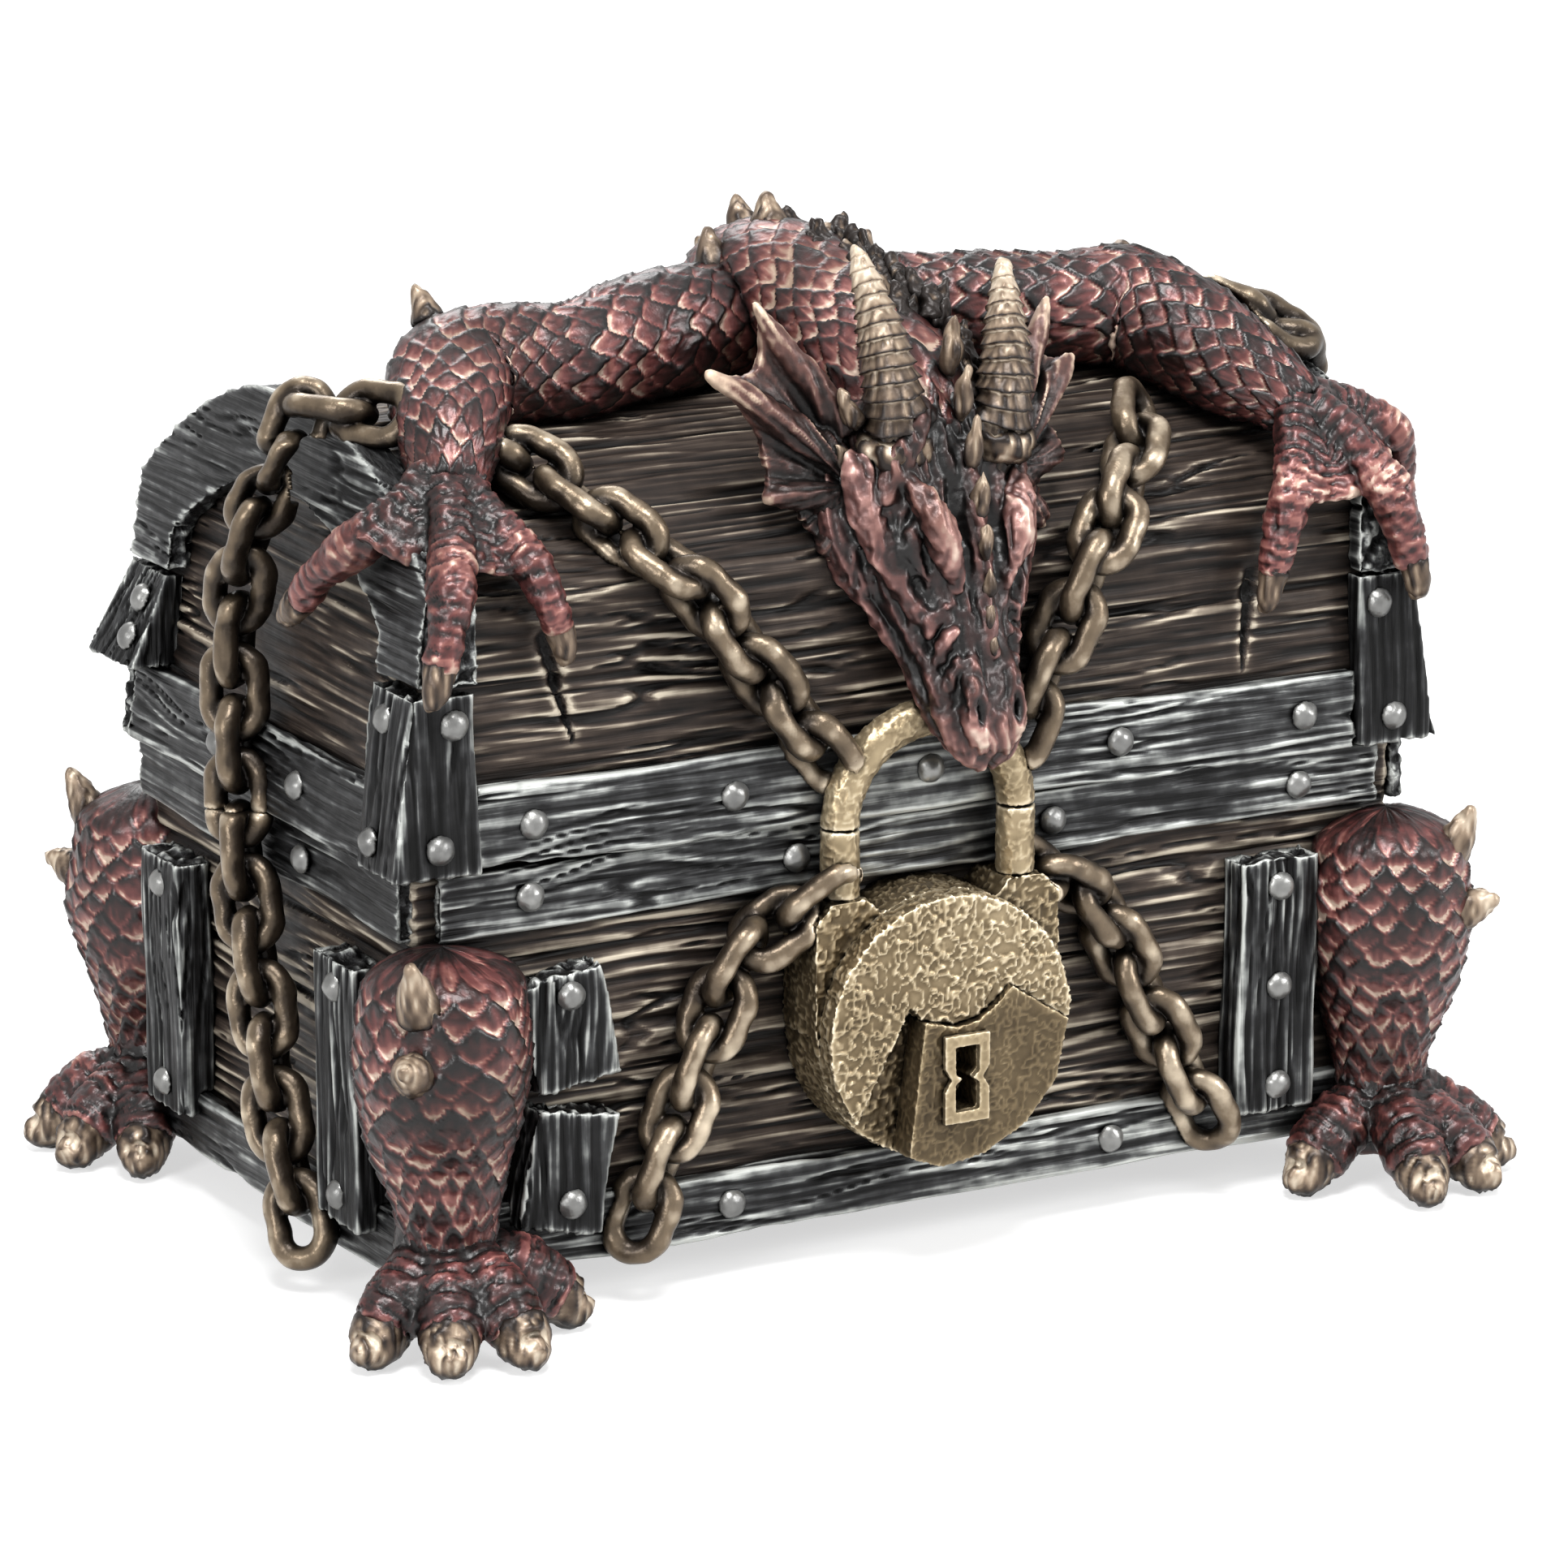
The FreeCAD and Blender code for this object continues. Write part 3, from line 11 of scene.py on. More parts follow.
import bpy
import numpy as np
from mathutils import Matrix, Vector


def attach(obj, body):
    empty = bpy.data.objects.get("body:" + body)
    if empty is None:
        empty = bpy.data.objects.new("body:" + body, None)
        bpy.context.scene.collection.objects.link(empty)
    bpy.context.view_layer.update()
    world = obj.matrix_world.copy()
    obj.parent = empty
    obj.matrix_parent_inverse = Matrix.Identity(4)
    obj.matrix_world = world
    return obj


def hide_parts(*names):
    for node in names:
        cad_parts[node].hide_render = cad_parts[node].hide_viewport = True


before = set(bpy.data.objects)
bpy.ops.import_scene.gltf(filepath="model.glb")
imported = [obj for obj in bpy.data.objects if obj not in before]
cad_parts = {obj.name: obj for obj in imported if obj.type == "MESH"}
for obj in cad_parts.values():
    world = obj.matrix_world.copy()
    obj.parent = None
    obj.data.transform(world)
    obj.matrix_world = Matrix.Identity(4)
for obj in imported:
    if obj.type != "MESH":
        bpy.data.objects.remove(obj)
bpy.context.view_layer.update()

MM = 0.001
# the middle of the box at floor level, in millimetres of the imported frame
MIDDLE = np.array((0.0, 1.66, 0.0))
scene = bpy.context.scene

# %% [markdown]
# The camera stands to the front left and a little above, with a long lens, as a catalogue photographer would.
# Setting it first means that every later piece can be judged in the photograph's own view.

# %% Camera
TARGET = np.array((1.52, 0.0, 37.39))
TURN, RISE = math.radians(-28.49), math.radians(15.09)
DISTANCE = 657.94
SENSOR_WIDTH, FOCAL_LENGTH = 36, 157.9
eye_way = np.array((math.sin(TURN) * math.cos(RISE), -math.cos(TURN) * math.cos(RISE), math.sin(RISE)))
lens = bpy.data.cameras.new("camera")
lens.sensor_width = SENSOR_WIDTH
lens.lens = FOCAL_LENGTH
camera = bpy.data.objects.new("camera", lens)
scene.collection.objects.link(camera)
camera.location = Vector((TARGET + MIDDLE + eye_way * DISTANCE) * MM)
camera.rotation_euler = Vector(-eye_way).to_track_quat("-Z", "Y").to_euler()
scene.camera = camera
scene.view_settings.view_transform = "Standard"
print("camera", DISTANCE, "mm from the chest")

# %% [markdown]
# The stage is a pale floor. A white one would throw light back at the chest, so this one is grey and glows a
# little for the camera only. It stays white around the shadow without more light falling on the paint.

# %% Floor
FLOOR_HALF = 3.0
FLOOR_GLOW = 0.62


def seen_ray(tree):
    """One where a ray comes from the camera, a gloss or a glass, and nothing for the soft light."""
    path = tree.nodes.new("ShaderNodeLightPath")
    total = path.outputs["Is Camera Ray"]
    for name in ("Is Glossy Ray", "Is Transmission Ray"):
        add = tree.nodes.new("ShaderNodeMath")
        add.operation = "MAXIMUM"
        tree.links.new(total, add.inputs[0])
        tree.links.new(path.outputs[name], add.inputs[1])
        total = add.outputs[0]
    return total


def make_floor():
    corners = [(x * FLOOR_HALF, y * FLOOR_HALF, 0) for x, y in ((-1, -1), (1, -1), (1, 1), (-1, 1))]
    mesh = bpy.data.meshes.new("floor")
    mesh.from_pydata(corners, [], [(0, 1, 2, 3)])
    floor = bpy.data.objects.new("floor", mesh)
    scene.collection.objects.link(floor)
    paper = bpy.data.materials.new("white_paper")
    paper.use_nodes = True
    tree = paper.node_tree
    shader = tree.nodes["Principled BSDF"]
    shader.inputs["Base Color"].default_value = (0.5, 0.5, 0.5, 1)
    shader.inputs["Roughness"].default_value = 0.9
    shader.inputs["Specular IOR Level"].default_value = 0.1
    shader.inputs["Emission Color"].default_value = (1, 1, 1, 1)
    glow = tree.nodes.new("ShaderNodeMath")
    glow.operation = "MULTIPLY"
    glow.inputs[1].default_value = FLOOR_GLOW
    tree.links.new(seen_ray(tree), glow.inputs[0])
    tree.links.new(glow.outputs[0], shader.inputs["Emission Strength"])
    mesh.materials.append(paper)


make_floor()
print("floor", 2 * FLOOR_HALF, "m wide")

# %% [markdown]
# The light is that of a soft studio. One large lamp overhead, one to each side and one behind give the long,
# soft highlights of metallic paint. Lamps are chosen over a picture of a studio because each can be aimed.

# %% Light
SKY_LIGHT = 0.31
LAMP_AIM = Vector((0, 0, 0.04))
# name, place, size and power, in metres and watts
LAMPS = (("lamp_top", (-0.15, -0.35, 0.9), 0.4, 11.0), ("lamp_left", (-0.9, -0.5, 0.45), 0.4, 6.0),
         ("lamp_right", (0.75, -0.75, 0.5), 0.4, 7.5), ("lamp_back", (0.2, 0.8, 0.7), 0.5, 4.0))


def make_world():
    world = bpy.data.worlds.new("studio")
    scene.world = world
    world.use_nodes = True
    tree = world.node_tree
    sky = tree.nodes["Background"]
    sky.inputs["Color"].default_value = (1, 1, 1, 1)
    level = tree.nodes.new("ShaderNodeMapRange")
    level.inputs["To Min"].default_value = SKY_LIGHT
    level.inputs["To Max"].default_value = 1.0
    tree.links.new(seen_ray(tree), level.inputs["Value"])
    tree.links.new(level.outputs["Result"], sky.inputs["Strength"])


def make_lamp(name, place, size, power):
    data = bpy.data.lights.new(name, "AREA")
    data.shape = "DISK"
    data.size = size
    data.energy = power
    lamp = bpy.data.objects.new(name, data)
    scene.collection.objects.link(lamp)
    lamp.location = place
    lamp.rotation_euler = (LAMP_AIM - Vector(place)).to_track_quat("-Z", "Y").to_euler()


make_world()
for lamp_row in LAMPS:
    make_lamp(*lamp_row)
print("lamps", [row[0] for row in LAMPS])

# %% [markdown]
# Carving needs numbers that look random but are the same on every run. A lattice of fixed chances, smoothed
# between its corners, gives soft lumps of any size. Stretched along a board it turns into wood grain. The
# noise that Blender offers to scripts takes one point at a time, and these arrays take a whole skin at once.

# %% Fixed noise


def chance(cells, seed):
    """One fixed number from 0 to 1 for each whole-number cell."""
    keys = cells.astype(np.int64).astype(np.uint32)
    mixed = (keys[:, 0] * np.uint32(73856093) ^ keys[:, 1] * np.uint32(19349663)
             ^ keys[:, 2] * np.uint32(83492791))
    mixed = (mixed ^ np.uint32(seed * 7919 + 17)) * np.uint32(2654435761)
    mixed = (mixed ^ (mixed >> np.uint32(15))) * np.uint32(2246822519)
    return (mixed ^ (mixed >> np.uint32(13))).astype(np.float64) / 4294967295.0


def cloud(points, size, seed=0):
    """Soft noise from 0 to 1 with lumps of a size: one number, or one for each way."""
    spots = points / np.asarray(size, float)
    low = np.floor(spots)
    part = spots - low
    part = part * part * (3 - 2 * part)
    total = np.zeros(len(points))
    for corner in itertools.product((0, 1), repeat=3):
        weight = np.prod(np.where(np.array(corner) == 1, part, 1 - part), axis=1)
        total += weight * chance(low + np.array(corner), seed)
    return total


def unit(vectors):
    return vectors / np.maximum(np.linalg.norm(vectors, axis=-1, keepdims=True), 1e-9)


print("noise at three places", cloud(np.eye(3), 2.0).round(2))

# %% [markdown]
# The paint is brushed over the high places only, so each point of a skin has to know whether it stands proud
# or lies in a hollow. Smoothing a copy of the skin and measuring how far each point lies above it tells that,
# whatever the shape is. The number is kept on the mesh for the paint to read. The Pointiness of the Geometry
# node tells something like it, but only from one point to the next.

# %% Skins


def read_skin(mesh):
    """The points in millimetres from the middle of the box, and the normals."""
    points = np.empty(len(mesh.vertices) * 3)
    mesh.vertices.foreach_get("co", points)
    normals = np.empty(len(mesh.vertices) * 3, np.float32)
    mesh.vertex_normals.foreach_get("vector", normals)
    return points.reshape(-1, 3) / MM - MIDDLE, normals.reshape(-1, 3).astype(float)


def write_skin(mesh, points):
    mesh.vertices.foreach_set("co", ((points + MIDDLE) * MM).ravel())
    mesh.update()


def smoothed(mesh, points, rounds):
    """The points drawn towards their neighbours a number of times."""
    edges = np.empty(len(mesh.edges) * 2, np.int32)
    mesh.edges.foreach_get("vertices", edges)
    start, end = edges.reshape(-1, 2).T
    count = len(points)
    links = np.maximum(np.bincount(start, minlength=count) + np.bincount(end, minlength=count), 1)
    soft = points.copy()
    for _ in range(rounds):
        total = np.stack([np.bincount(start, soft[end, k], count) + np.bincount(end, soft[start, k], count)
                          for k in range(3)], 1)
        soft = 0.5 * soft + 0.5 * total / links[:, None]
    return soft


def soften(mesh, rounds):
    """Draws a skin smooth."""
    points, _ = read_skin(mesh)
    write_skin(mesh, smoothed(mesh, points, rounds))


def push(mesh, field):
    """Moves a skin in and out by a field of heights in millimetres."""
    points, normals = read_skin(mesh)
    write_skin(mesh, points + normals * field(points, normals)[:, None])


def skin_from(points, faces):
    mesh = bpy.data.meshes.new("skin")
    mesh.from_pydata(((points + MIDDLE) * MM).tolist(), [], faces)
    mesh.update()
    return mesh


def evenly(mesh, voxel):
    """A closed skin of small even squares round what a rough mesh encloses."""
    rough = bpy.data.objects.new("rough", mesh)
    scene.collection.objects.link(rough)
    even = rough.modifiers.new("even", "REMESH")
    even.mode = "VOXEL"
    even.voxel_size = voxel * MM
    made = bpy.data.meshes.new_from_object(rough.evaluated_get(bpy.context.evaluated_depsgraph_get()))
    bpy.data.objects.remove(rough)
    return made


def node_skin(node, voxel):
    return evenly(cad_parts[node].data.copy(), voxel)


def place_piece(name, mesh, body, slot, nodes=(), rounds=16, proud=0.3, paint=None, brush=0.0):
    """A finished skin, riding on its body: its heights and any extra brushing are kept for the paint."""
    points, normals = read_skin(mesh)
    height = ((points - smoothed(mesh, points, rounds)) * normals).sum(1)
    marks = mesh.attributes.new("relief", "FLOAT", "POINT")
    marks.data.foreach_set("value", np.clip(0.5 + height / (2 * proud) + brush, 0, 1).astype(np.float32))
    mesh.shade_smooth()
    mesh.materials.clear()
    mesh.materials.append(paint or PAINT[slot])
    obj = bpy.data.objects.new(name, mesh)
    scene.collection.objects.link(obj)
    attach(obj, body)
    if nodes:
        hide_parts(*nodes)
    print(name, len(mesh.vertices), "points")


print("points of the solids", sum(len(node.data.vertices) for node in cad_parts.values()))

# %% [markdown]
# Every finish on the casting is made in the same way: a near-black wash in the hollows, a middle colour, and
# a pale metallic edge where a dry brush touched. One function builds it from a few colours. A coarse noise
# lets the brush miss in places. The darkening close to other pieces is painted shade, which also stands for
# the wash that settled there. Colours painted on the meshes would do it too, but a node tree follows every
# later change of shape.

# %% Paint
# noise scales for each metre, and the share of its scale that a fibre has along the board
GRIT, PATCHES, SPECKS, STAINS, GLOSS_SPECKS = 1500, 45, 420, 60, 900
PLANK_FIBRES, BOARD_FIBRES, FIBRE_STRETCH = 1500, 1700, 0.035
BUMP_DEPTH = 0.00035
END_FACE = 0.72


def make_paint(name, colours, metallic, rough, run=None, fibre=0.0, patch=0.25, reach=2.2, tint=None,
               shine=0.35):
    """Hollows near black, a middle colour, a brushed edge and painted shade near other pieces. For wood, run
    is the way of the fibres, or "planks".
    """
    paint = bpy.data.materials.new(name)
    paint.use_nodes = True
    tree = paint.node_tree
    link = tree.links.new
    shader = tree.nodes["Principled BSDF"]
    shader.inputs["Metallic"].default_value = metallic
    shader.inputs["Specular IOR Level"].default_value = shine

    def make(kind, **settings):
        node = tree.nodes.new(f"ShaderNode{kind}")
        for key, value in settings.items():
            if key in node.inputs:
                node.inputs[key].default_value = value
            else:
                setattr(node, key, value)
        return node

    def sums(operation, first, second):
        node = make("Math", operation=operation)
        for socket, value in zip(node.inputs, (first, second)):
            if isinstance(value, float):
                socket.default_value = value
            else:
                link(value, socket)
        return node.outputs[0]

    place = make("TexCoord").outputs["Object"]

    def speckle(scale, detail):
        noise = make("TexNoise", Scale=scale, Detail=detail)
        link(place, noise.inputs["Vector"])
        return noise.outputs["Fac"]

    def fibres(way, fine):
        stretch = [fine] * 3
        stretch[way] = fine * FIBRE_STRETCH
        turned = make("Mapping", Scale=stretch)
        link(place, turned.inputs["Vector"])
        noise = make("TexNoise", Scale=1.0, Detail=3.0, Distortion=0.5)
        link(turned.outputs["Vector"], noise.inputs["Vector"])
        return noise.outputs["Fac"]

    level = make("Attribute", attribute_name="relief").outputs["Fac"]
    height = speckle(GRIT, 4)
    if run is not None:
        if run == "planks":
            ends = make("SeparateXYZ")
            link(make("NewGeometry").outputs["Normal"], ends.inputs["Vector"])
            choose = sums("GREATER_THAN", sums("ABSOLUTE", ends.outputs["X"], 0.0), END_FACE)
            strands = make("Mix")
            link(choose, strands.inputs["Factor"])
            link(fibres(0, PLANK_FIBRES), strands.inputs["A"])
            link(fibres(1, PLANK_FIBRES), strands.inputs["B"])
            height = strands.outputs["Result"]
        else:
            height = fibres(run, BOARD_FIBRES)
        level = sums("ADD", level, sums("MULTIPLY", sums("SUBTRACT", height, 0.5), fibre))
    brushed = sums("MULTIPLY", sums("SUBTRACT", speckle(PATCHES, 3), 0.5), patch * 1.6)
    missed = sums("MULTIPLY", sums("SUBTRACT", speckle(SPECKS, 3), 0.5), patch)
    level = sums("ADD", level, sums("ADD", brushed, missed))
    ramp = make("ValToRGB")
    stops = ramp.color_ramp.elements
    stops[0].position, stops[1].position = colours[0][0], colours[-1][0]
    for spot, _ in colours[1:-1]:
        stops.new(spot)
    for stop, (_, shade) in zip(stops, colours):
        stop.color = (*shade, 1)
    link(level, ramp.inputs["Fac"])
    colour = ramp.outputs["Color"]
    if tint:
        spread = make("MapRange", **{"From Min": 0.45, "From Max": 0.65})
        link(speckle(STAINS, 2), spread.inputs["Value"])
        stain = make("Mix", data_type="RGBA", blend_type="MULTIPLY")
        stain.inputs["B"].default_value = (*tint, 1)
        link(spread.outputs["Result"], stain.inputs["Factor"])
        link(colour, stain.inputs["A"])
        colour = stain.outputs["Result"]
    # painted shade: ambient occlusion darkens the colour in crevices and near other pieces, and also stands
    # for the wash there
    wash_and_shade = make("AmbientOcclusion", samples=4, Distance=reach * MM)
    depth = make("MapRange", **{"From Min": 0.3, "From Max": 0.9, "To Min": 0.08})
    link(wash_and_shade.outputs["AO"], depth.inputs["Value"])
    wash_and_shade_mix = make("Mix", data_type="RGBA", blend_type="MULTIPLY")
    wash_and_shade_mix.inputs["Factor"].default_value = 1
    link(colour, wash_and_shade_mix.inputs["A"])
    link(depth.outputs["Result"], wash_and_shade_mix.inputs["B"])
    link(wash_and_shade_mix.outputs["Result"], shader.inputs["Base Color"])
    gloss = make("MapRange", **{"To Min": rough - 0.1, "To Max": rough + 0.14})
    link(speckle(GLOSS_SPECKS, 3), gloss.inputs["Value"])
    link(gloss.outputs["Result"], shader.inputs["Roughness"])
    surface = make("Bump", Strength=0.7 if fibre else 0.2, Distance=BUMP_DEPTH)
    link(height, surface.inputs["Height"])
    link(surface.outputs["Normal"], shader.inputs["Normal"])
    return paint


# %% [markdown]
# Each finish is a ramp from the wash to the brushed edge: rows of a height on the ramp and a colour. Then
# come how metallic it is and how rough. The planks are nearly dull, the chain, the lock and the rivets are
# mostly metal, and the dragon and the boards lie between. The dragon has a darker stain in places.

# %% Finishes
PLANK_COLOURS = ((0.2, (0.004, 0.003, 0.0025)), (0.46, (0.022, 0.0155, 0.0125)),
                 (0.66, (0.058, 0.043, 0.034)), (0.81, (0.22, 0.183, 0.142)), (0.95, (0.54, 0.475, 0.375)))
BOARD_COLOURS = ((0.22, (0.0025, 0.0025, 0.0025)), (0.48, (0.013, 0.013, 0.0135)),
                 (0.66, (0.05, 0.051, 0.052)), (0.82, (0.22, 0.228, 0.22)), (0.97, (0.5, 0.515, 0.49)))
CHAIN_COLOURS = ((0.34, (0.009, 0.006, 0.0045)), (0.57, (0.036, 0.026, 0.018)),
                 (0.75, (0.16, 0.12, 0.08)), (0.97, (0.78, 0.66, 0.5)))
BRASS_COLOURS = ((0.2, (0.032, 0.022, 0.012)), (0.46, (0.16, 0.118, 0.066)),
                 (0.64, (0.38, 0.3, 0.185)), (0.92, (0.9, 0.78, 0.57)))
RIVET_COLOURS = ((0.2, (0.02, 0.02, 0.02)), (0.5, (0.1, 0.1, 0.098)),
                 (0.7, (0.28, 0.28, 0.27)), (0.95, (0.7, 0.7, 0.67)))
SCALE_COLOURS = ((0.2, (0.005, 0.0035, 0.0035)), (0.42, (0.034, 0.012, 0.0115)),
                 (0.6, (0.125, 0.037, 0.035)), (0.76, (0.31, 0.128, 0.108)), (0.92, (0.72, 0.55, 0.44)))
HORN_COLOURS = ((0.2, (0.014, 0.009, 0.007)), (0.42, (0.09, 0.062, 0.043)),
                (0.62, (0.27, 0.2, 0.14)), (0.9, (0.74, 0.63, 0.49)))
FACE_COLOURS = ((0.24, (0.005, 0.004, 0.0038)), (0.47, (0.03, 0.0145, 0.0135)),
                (0.64, (0.125, 0.056, 0.05)), (0.79, (0.36, 0.19, 0.165)), (0.95, (0.76, 0.6, 0.5)))
EAR_COLOURS = ((0.22, (0.005, 0.0035, 0.003)), (0.5, (0.03, 0.0155, 0.0135)),
               (0.68, (0.11, 0.052, 0.043)), (0.92, (0.62, 0.47, 0.35)))
PAINT = {
    "planks": make_paint("plank_paint", PLANK_COLOURS, 0.12, 0.46, run="planks", fibre=0.85, shine=0.18),
    "chain": make_paint("chain_paint", CHAIN_COLOURS, 0.6, 0.31, reach=3.4),
    "lock": make_paint("lock_paint", BRASS_COLOURS, 0.7, 0.36),
    "rivets": make_paint("rivet_paint", RIVET_COLOURS, 0.75, 0.34),
    "dragon": make_paint("dragon_paint", SCALE_COLOURS, 0.25, 0.33, tint=(0.5, 0.46, 0.42), shine=0.5),
    "horn": make_paint("horn_paint", HORN_COLOURS, 0.3, 0.38),
}
FACE_PAINT = make_paint("face_paint", FACE_COLOURS, 0.25, 0.35, tint=(0.55, 0.5, 0.46), shine=0.45)
EAR_PAINT = make_paint("ear_paint", EAR_COLOURS, 0.25, 0.4)
BOARD_PAINT = [make_paint(f"board_paint_{way}", BOARD_COLOURS, 0.4, 0.4, run=number, fibre=0.8, patch=0.5,
                          shine=0.2) for number, way in enumerate("xyz")]
print("paints", [paint.name for paint in (*PAINT.values(), FACE_PAINT, EAR_PAINT, *BOARD_PAINT)])

# %% [markdown]
# The box and the lid are built of old planks, with deep open grain. A bump in the paint would leave their
# edges straight, so the grain moves the mesh itself. The field below adds three widths of stretched noise
# that wander along the board, and cuts narrow cracks where a fourth noise crosses its middle. It runs along
# X on the long sides and the arch, and along Y on the ends.

# %% Planks
PLANK_VOXEL, PLANK_DEPTH = 0.28, 0.8


def grain(along, across, deep, seed):
    """Open grain, higher and lower than zero: ridges along a board, with cracks cut between them."""
    rows = np.stack((along, across, deep), 1)
    wander = across + 3.0 * (cloud(rows, (15, 6, 6), seed) - 0.5)
    rows = np.stack((along, wander, deep), 1)
    ridges = (0.3 * cloud(rows, (26, 1.5, 1.5), seed + 1) + 0.5 * cloud(rows, (13, 0.7, 0.7), seed + 2)
              + 0.5 * cloud(rows, (7, 0.4, 0.4), seed + 3))
    crack = np.clip(1 - np.abs(cloud(rows, (20, 1.05, 1.05), seed + 4) - 0.5) / 0.07, 0, 1)
    gate = np.clip(6 * (cloud(rows, (12, 3, 3), seed + 5) - 0.42), 0, 1)
    return ridges - 0.62 - 0.8 * crack * gate


def plank_field(depth, seed):
    """Grain for a box of planks: the way it runs follows the side that each point lies on."""
    def field(points, normals):
        ends = np.abs(normals[:, 0]) > END_FACE
        along = np.where(ends, points[:, 1], points[:, 0])
        across = np.where(np.abs(normals[:, 2]) > END_FACE, points[:, 1], points[:, 2])
        deep = np.where(ends, points[:, 0], points[:, 1]) * 0.3
        return depth * grain(along + 90 * ends, across, deep, seed)
    return field


# claws have scored the front of the lid: x and z at the ends of each score, and how deep it is
SCORES = (((-38.2, 62.5), (-35.6, 52.8), 1.0), ((35.6, 60), (34.4, 50.6), 1.0),
          ((-50.8, 58), (-50.2, 54), 0.5))


def scored(field):
    """A plank field with the claw scores cut into the front."""
    def field_with_scores(points, normals):
        total = field(points, normals)
        for start, end, depth in SCORES:
            start, way = np.array(start), np.array(end) - np.array(start)
            spots = points[:, (0, 2)] - start
            share = np.clip(spots @ way / (way @ way), 0, 1)
            gap = np.linalg.norm(spots - share[:, None] * way, axis=1)
            total -= (normals[:, 1] < -0.6) * depth * np.exp(-(gap / (0.75 * (1.05 - share))) ** 2)
        return total
    return field_with_scores


for node, body, seed, shade in (("base_box", "base", 11, 0.03), ("lid_shell", "lid", 23, -0.05)):
    skin = node_skin(node, PLANK_VOXEL)
    carving = plank_field(PLANK_DEPTH, seed)
    push(skin, scored(carving) if body == "lid" else carving)
    place_piece(f"{node}_planks", skin, body, "planks", [node], rounds=12, proud=0.19, brush=shade)

# %% [markdown]
# Rails, skirts, battens and straps are separate boards nailed over the planks: darker, with shallower grain
# and ends that have frayed. The same grain runs along each one. Where a point lies on an end face, a stronger
# noise moves it along the board, and that frays the end. Old boards also bow and lean a little, so each is
# bent by a slow noise before it is carved.

# %% Boards
LONG_SIDES, ENDS = ("front", "rear"), ("left", "right")
BOARD_VOXEL, BOARD_DEPTH, FRAY, BOW = 0.26, 0.6, 1.1, 0.7
BOARD_BRUSH = (0.09, -0.03, -0.1)


def board_field(run, depth, fray, seed):
    """Grain along one way of a board (0, 1 or 2), and a frayed end where the face looks that way."""
    other = [way for way in (0, 1, 2) if way != run]

    def field(points, normals):
        carved = depth * grain(points[:, run], points[:, other[0]] + points[:, other[1]],
                               points[:, other[1]] * 0.4, seed)
        worn = fray * (cloud(points, 0.8, seed + 7) + cloud(points, 2.0, seed + 8) - 1.3)
        return np.where(np.abs(normals[:, run]) > 0.7, worn, carved)
    return field


def bowed(mesh, run, amount, seed):
    """Bends a board sideways along its length by a slow noise."""
    points, _ = read_skin(mesh)
    line = np.zeros_like(points)
    line[:, run] = points[:, run]
    for way in (0, 1, 2):
        if way != run:
            points[:, way] += amount * (cloud(line + 7.3 * way, 14, seed + way) - 0.5)
    write_skin(mesh, points)


# node, body, and the way that the board runs
BOARDS = [(f"{kind}_{face}", body, 0)
          for kind, body in (("base_rail", "base"), ("skirt", "base"), ("lid_rail", "lid"))
          for face in LONG_SIDES]
BOARDS += [(name, "base", 1) for name in ("base_rail_ends", "skirt_ends")]
BOARDS += [(f"{kind}_{side}", "lid", 1) for kind in ("lid_rail", "lid_band") for side in ENDS]
BOARDS += [(f"battens_{face}", "base", 2) for face in LONG_SIDES + ENDS]
BOARDS += [(f"corner_strap_{face}_{side}", "lid", 2) for face in LONG_SIDES for side in ENDS]
for number, (node, body, run) in enumerate(BOARDS):
    seed = 40 + 10 * number
    skin = node_skin(node, BOARD_VOXEL)
    bowed(skin, run, BOW, seed)
    push(skin, board_field(run, BOARD_DEPTH, FRAY, seed))
    place_piece(f"{node}_board", skin, body, "boards", [node], rounds=12, proud=0.19,
                paint=BOARD_PAINT[run], brush=BOARD_BRUSH[run])

# %% [markdown]
# The chain links and rivets keep the shape of their solids: a cast link is smooth, with only a slight lump
# here and there. They are meshed evenly so that the paint can read their heights too. A brush only reaches
# the outer side of a link, so the way that each point looks decides how much it takes. The side that faces
# the box is darkened as well, as painted shade. The chain over the left end is eased forward and down at
# the top, because the casting has it lying low on the strap there.

# %% Chains and rivets
LINK_VOXEL, RIVET_VOXEL = 0.28, 0.16
CHAIN_SLIDE, CHAIN_SINK = np.array((-2.8, -9.6, 0)), np.array((0, 0, 2.6))
# how far the box reaches from its middle each way
BOX_REACH = np.array((52, 30, 76))


def lumps(size, height, seed, grow):
    return lambda points, normals: grow + height * (cloud(points, size, seed) - 0.5)


def settled(mesh):
    """Lays the top of the left lid chain lower and further forward, half sunk in the strap."""
    points, _ = read_skin(mesh)
    down_the_end = points[:, 1] > -9
    slide = np.clip((points[:, 2] - 60) / 20, 0, 1) * down_the_end
    sink = np.clip((points[:, 2] - 72) / 9, 0, 1) * down_the_end
    write_skin(mesh, points + slide[:, None] * CHAIN_SLIDE - sink[:, None] * CHAIN_SINK)


def outer_side(mesh):
    """How far each point looks away from the box, from -1 to 1."""
    points, normals = read_skin(mesh)
    share = points / BOX_REACH
    return (normals * unit(np.sign(share) * np.abs(share) ** 9)).sum(1)


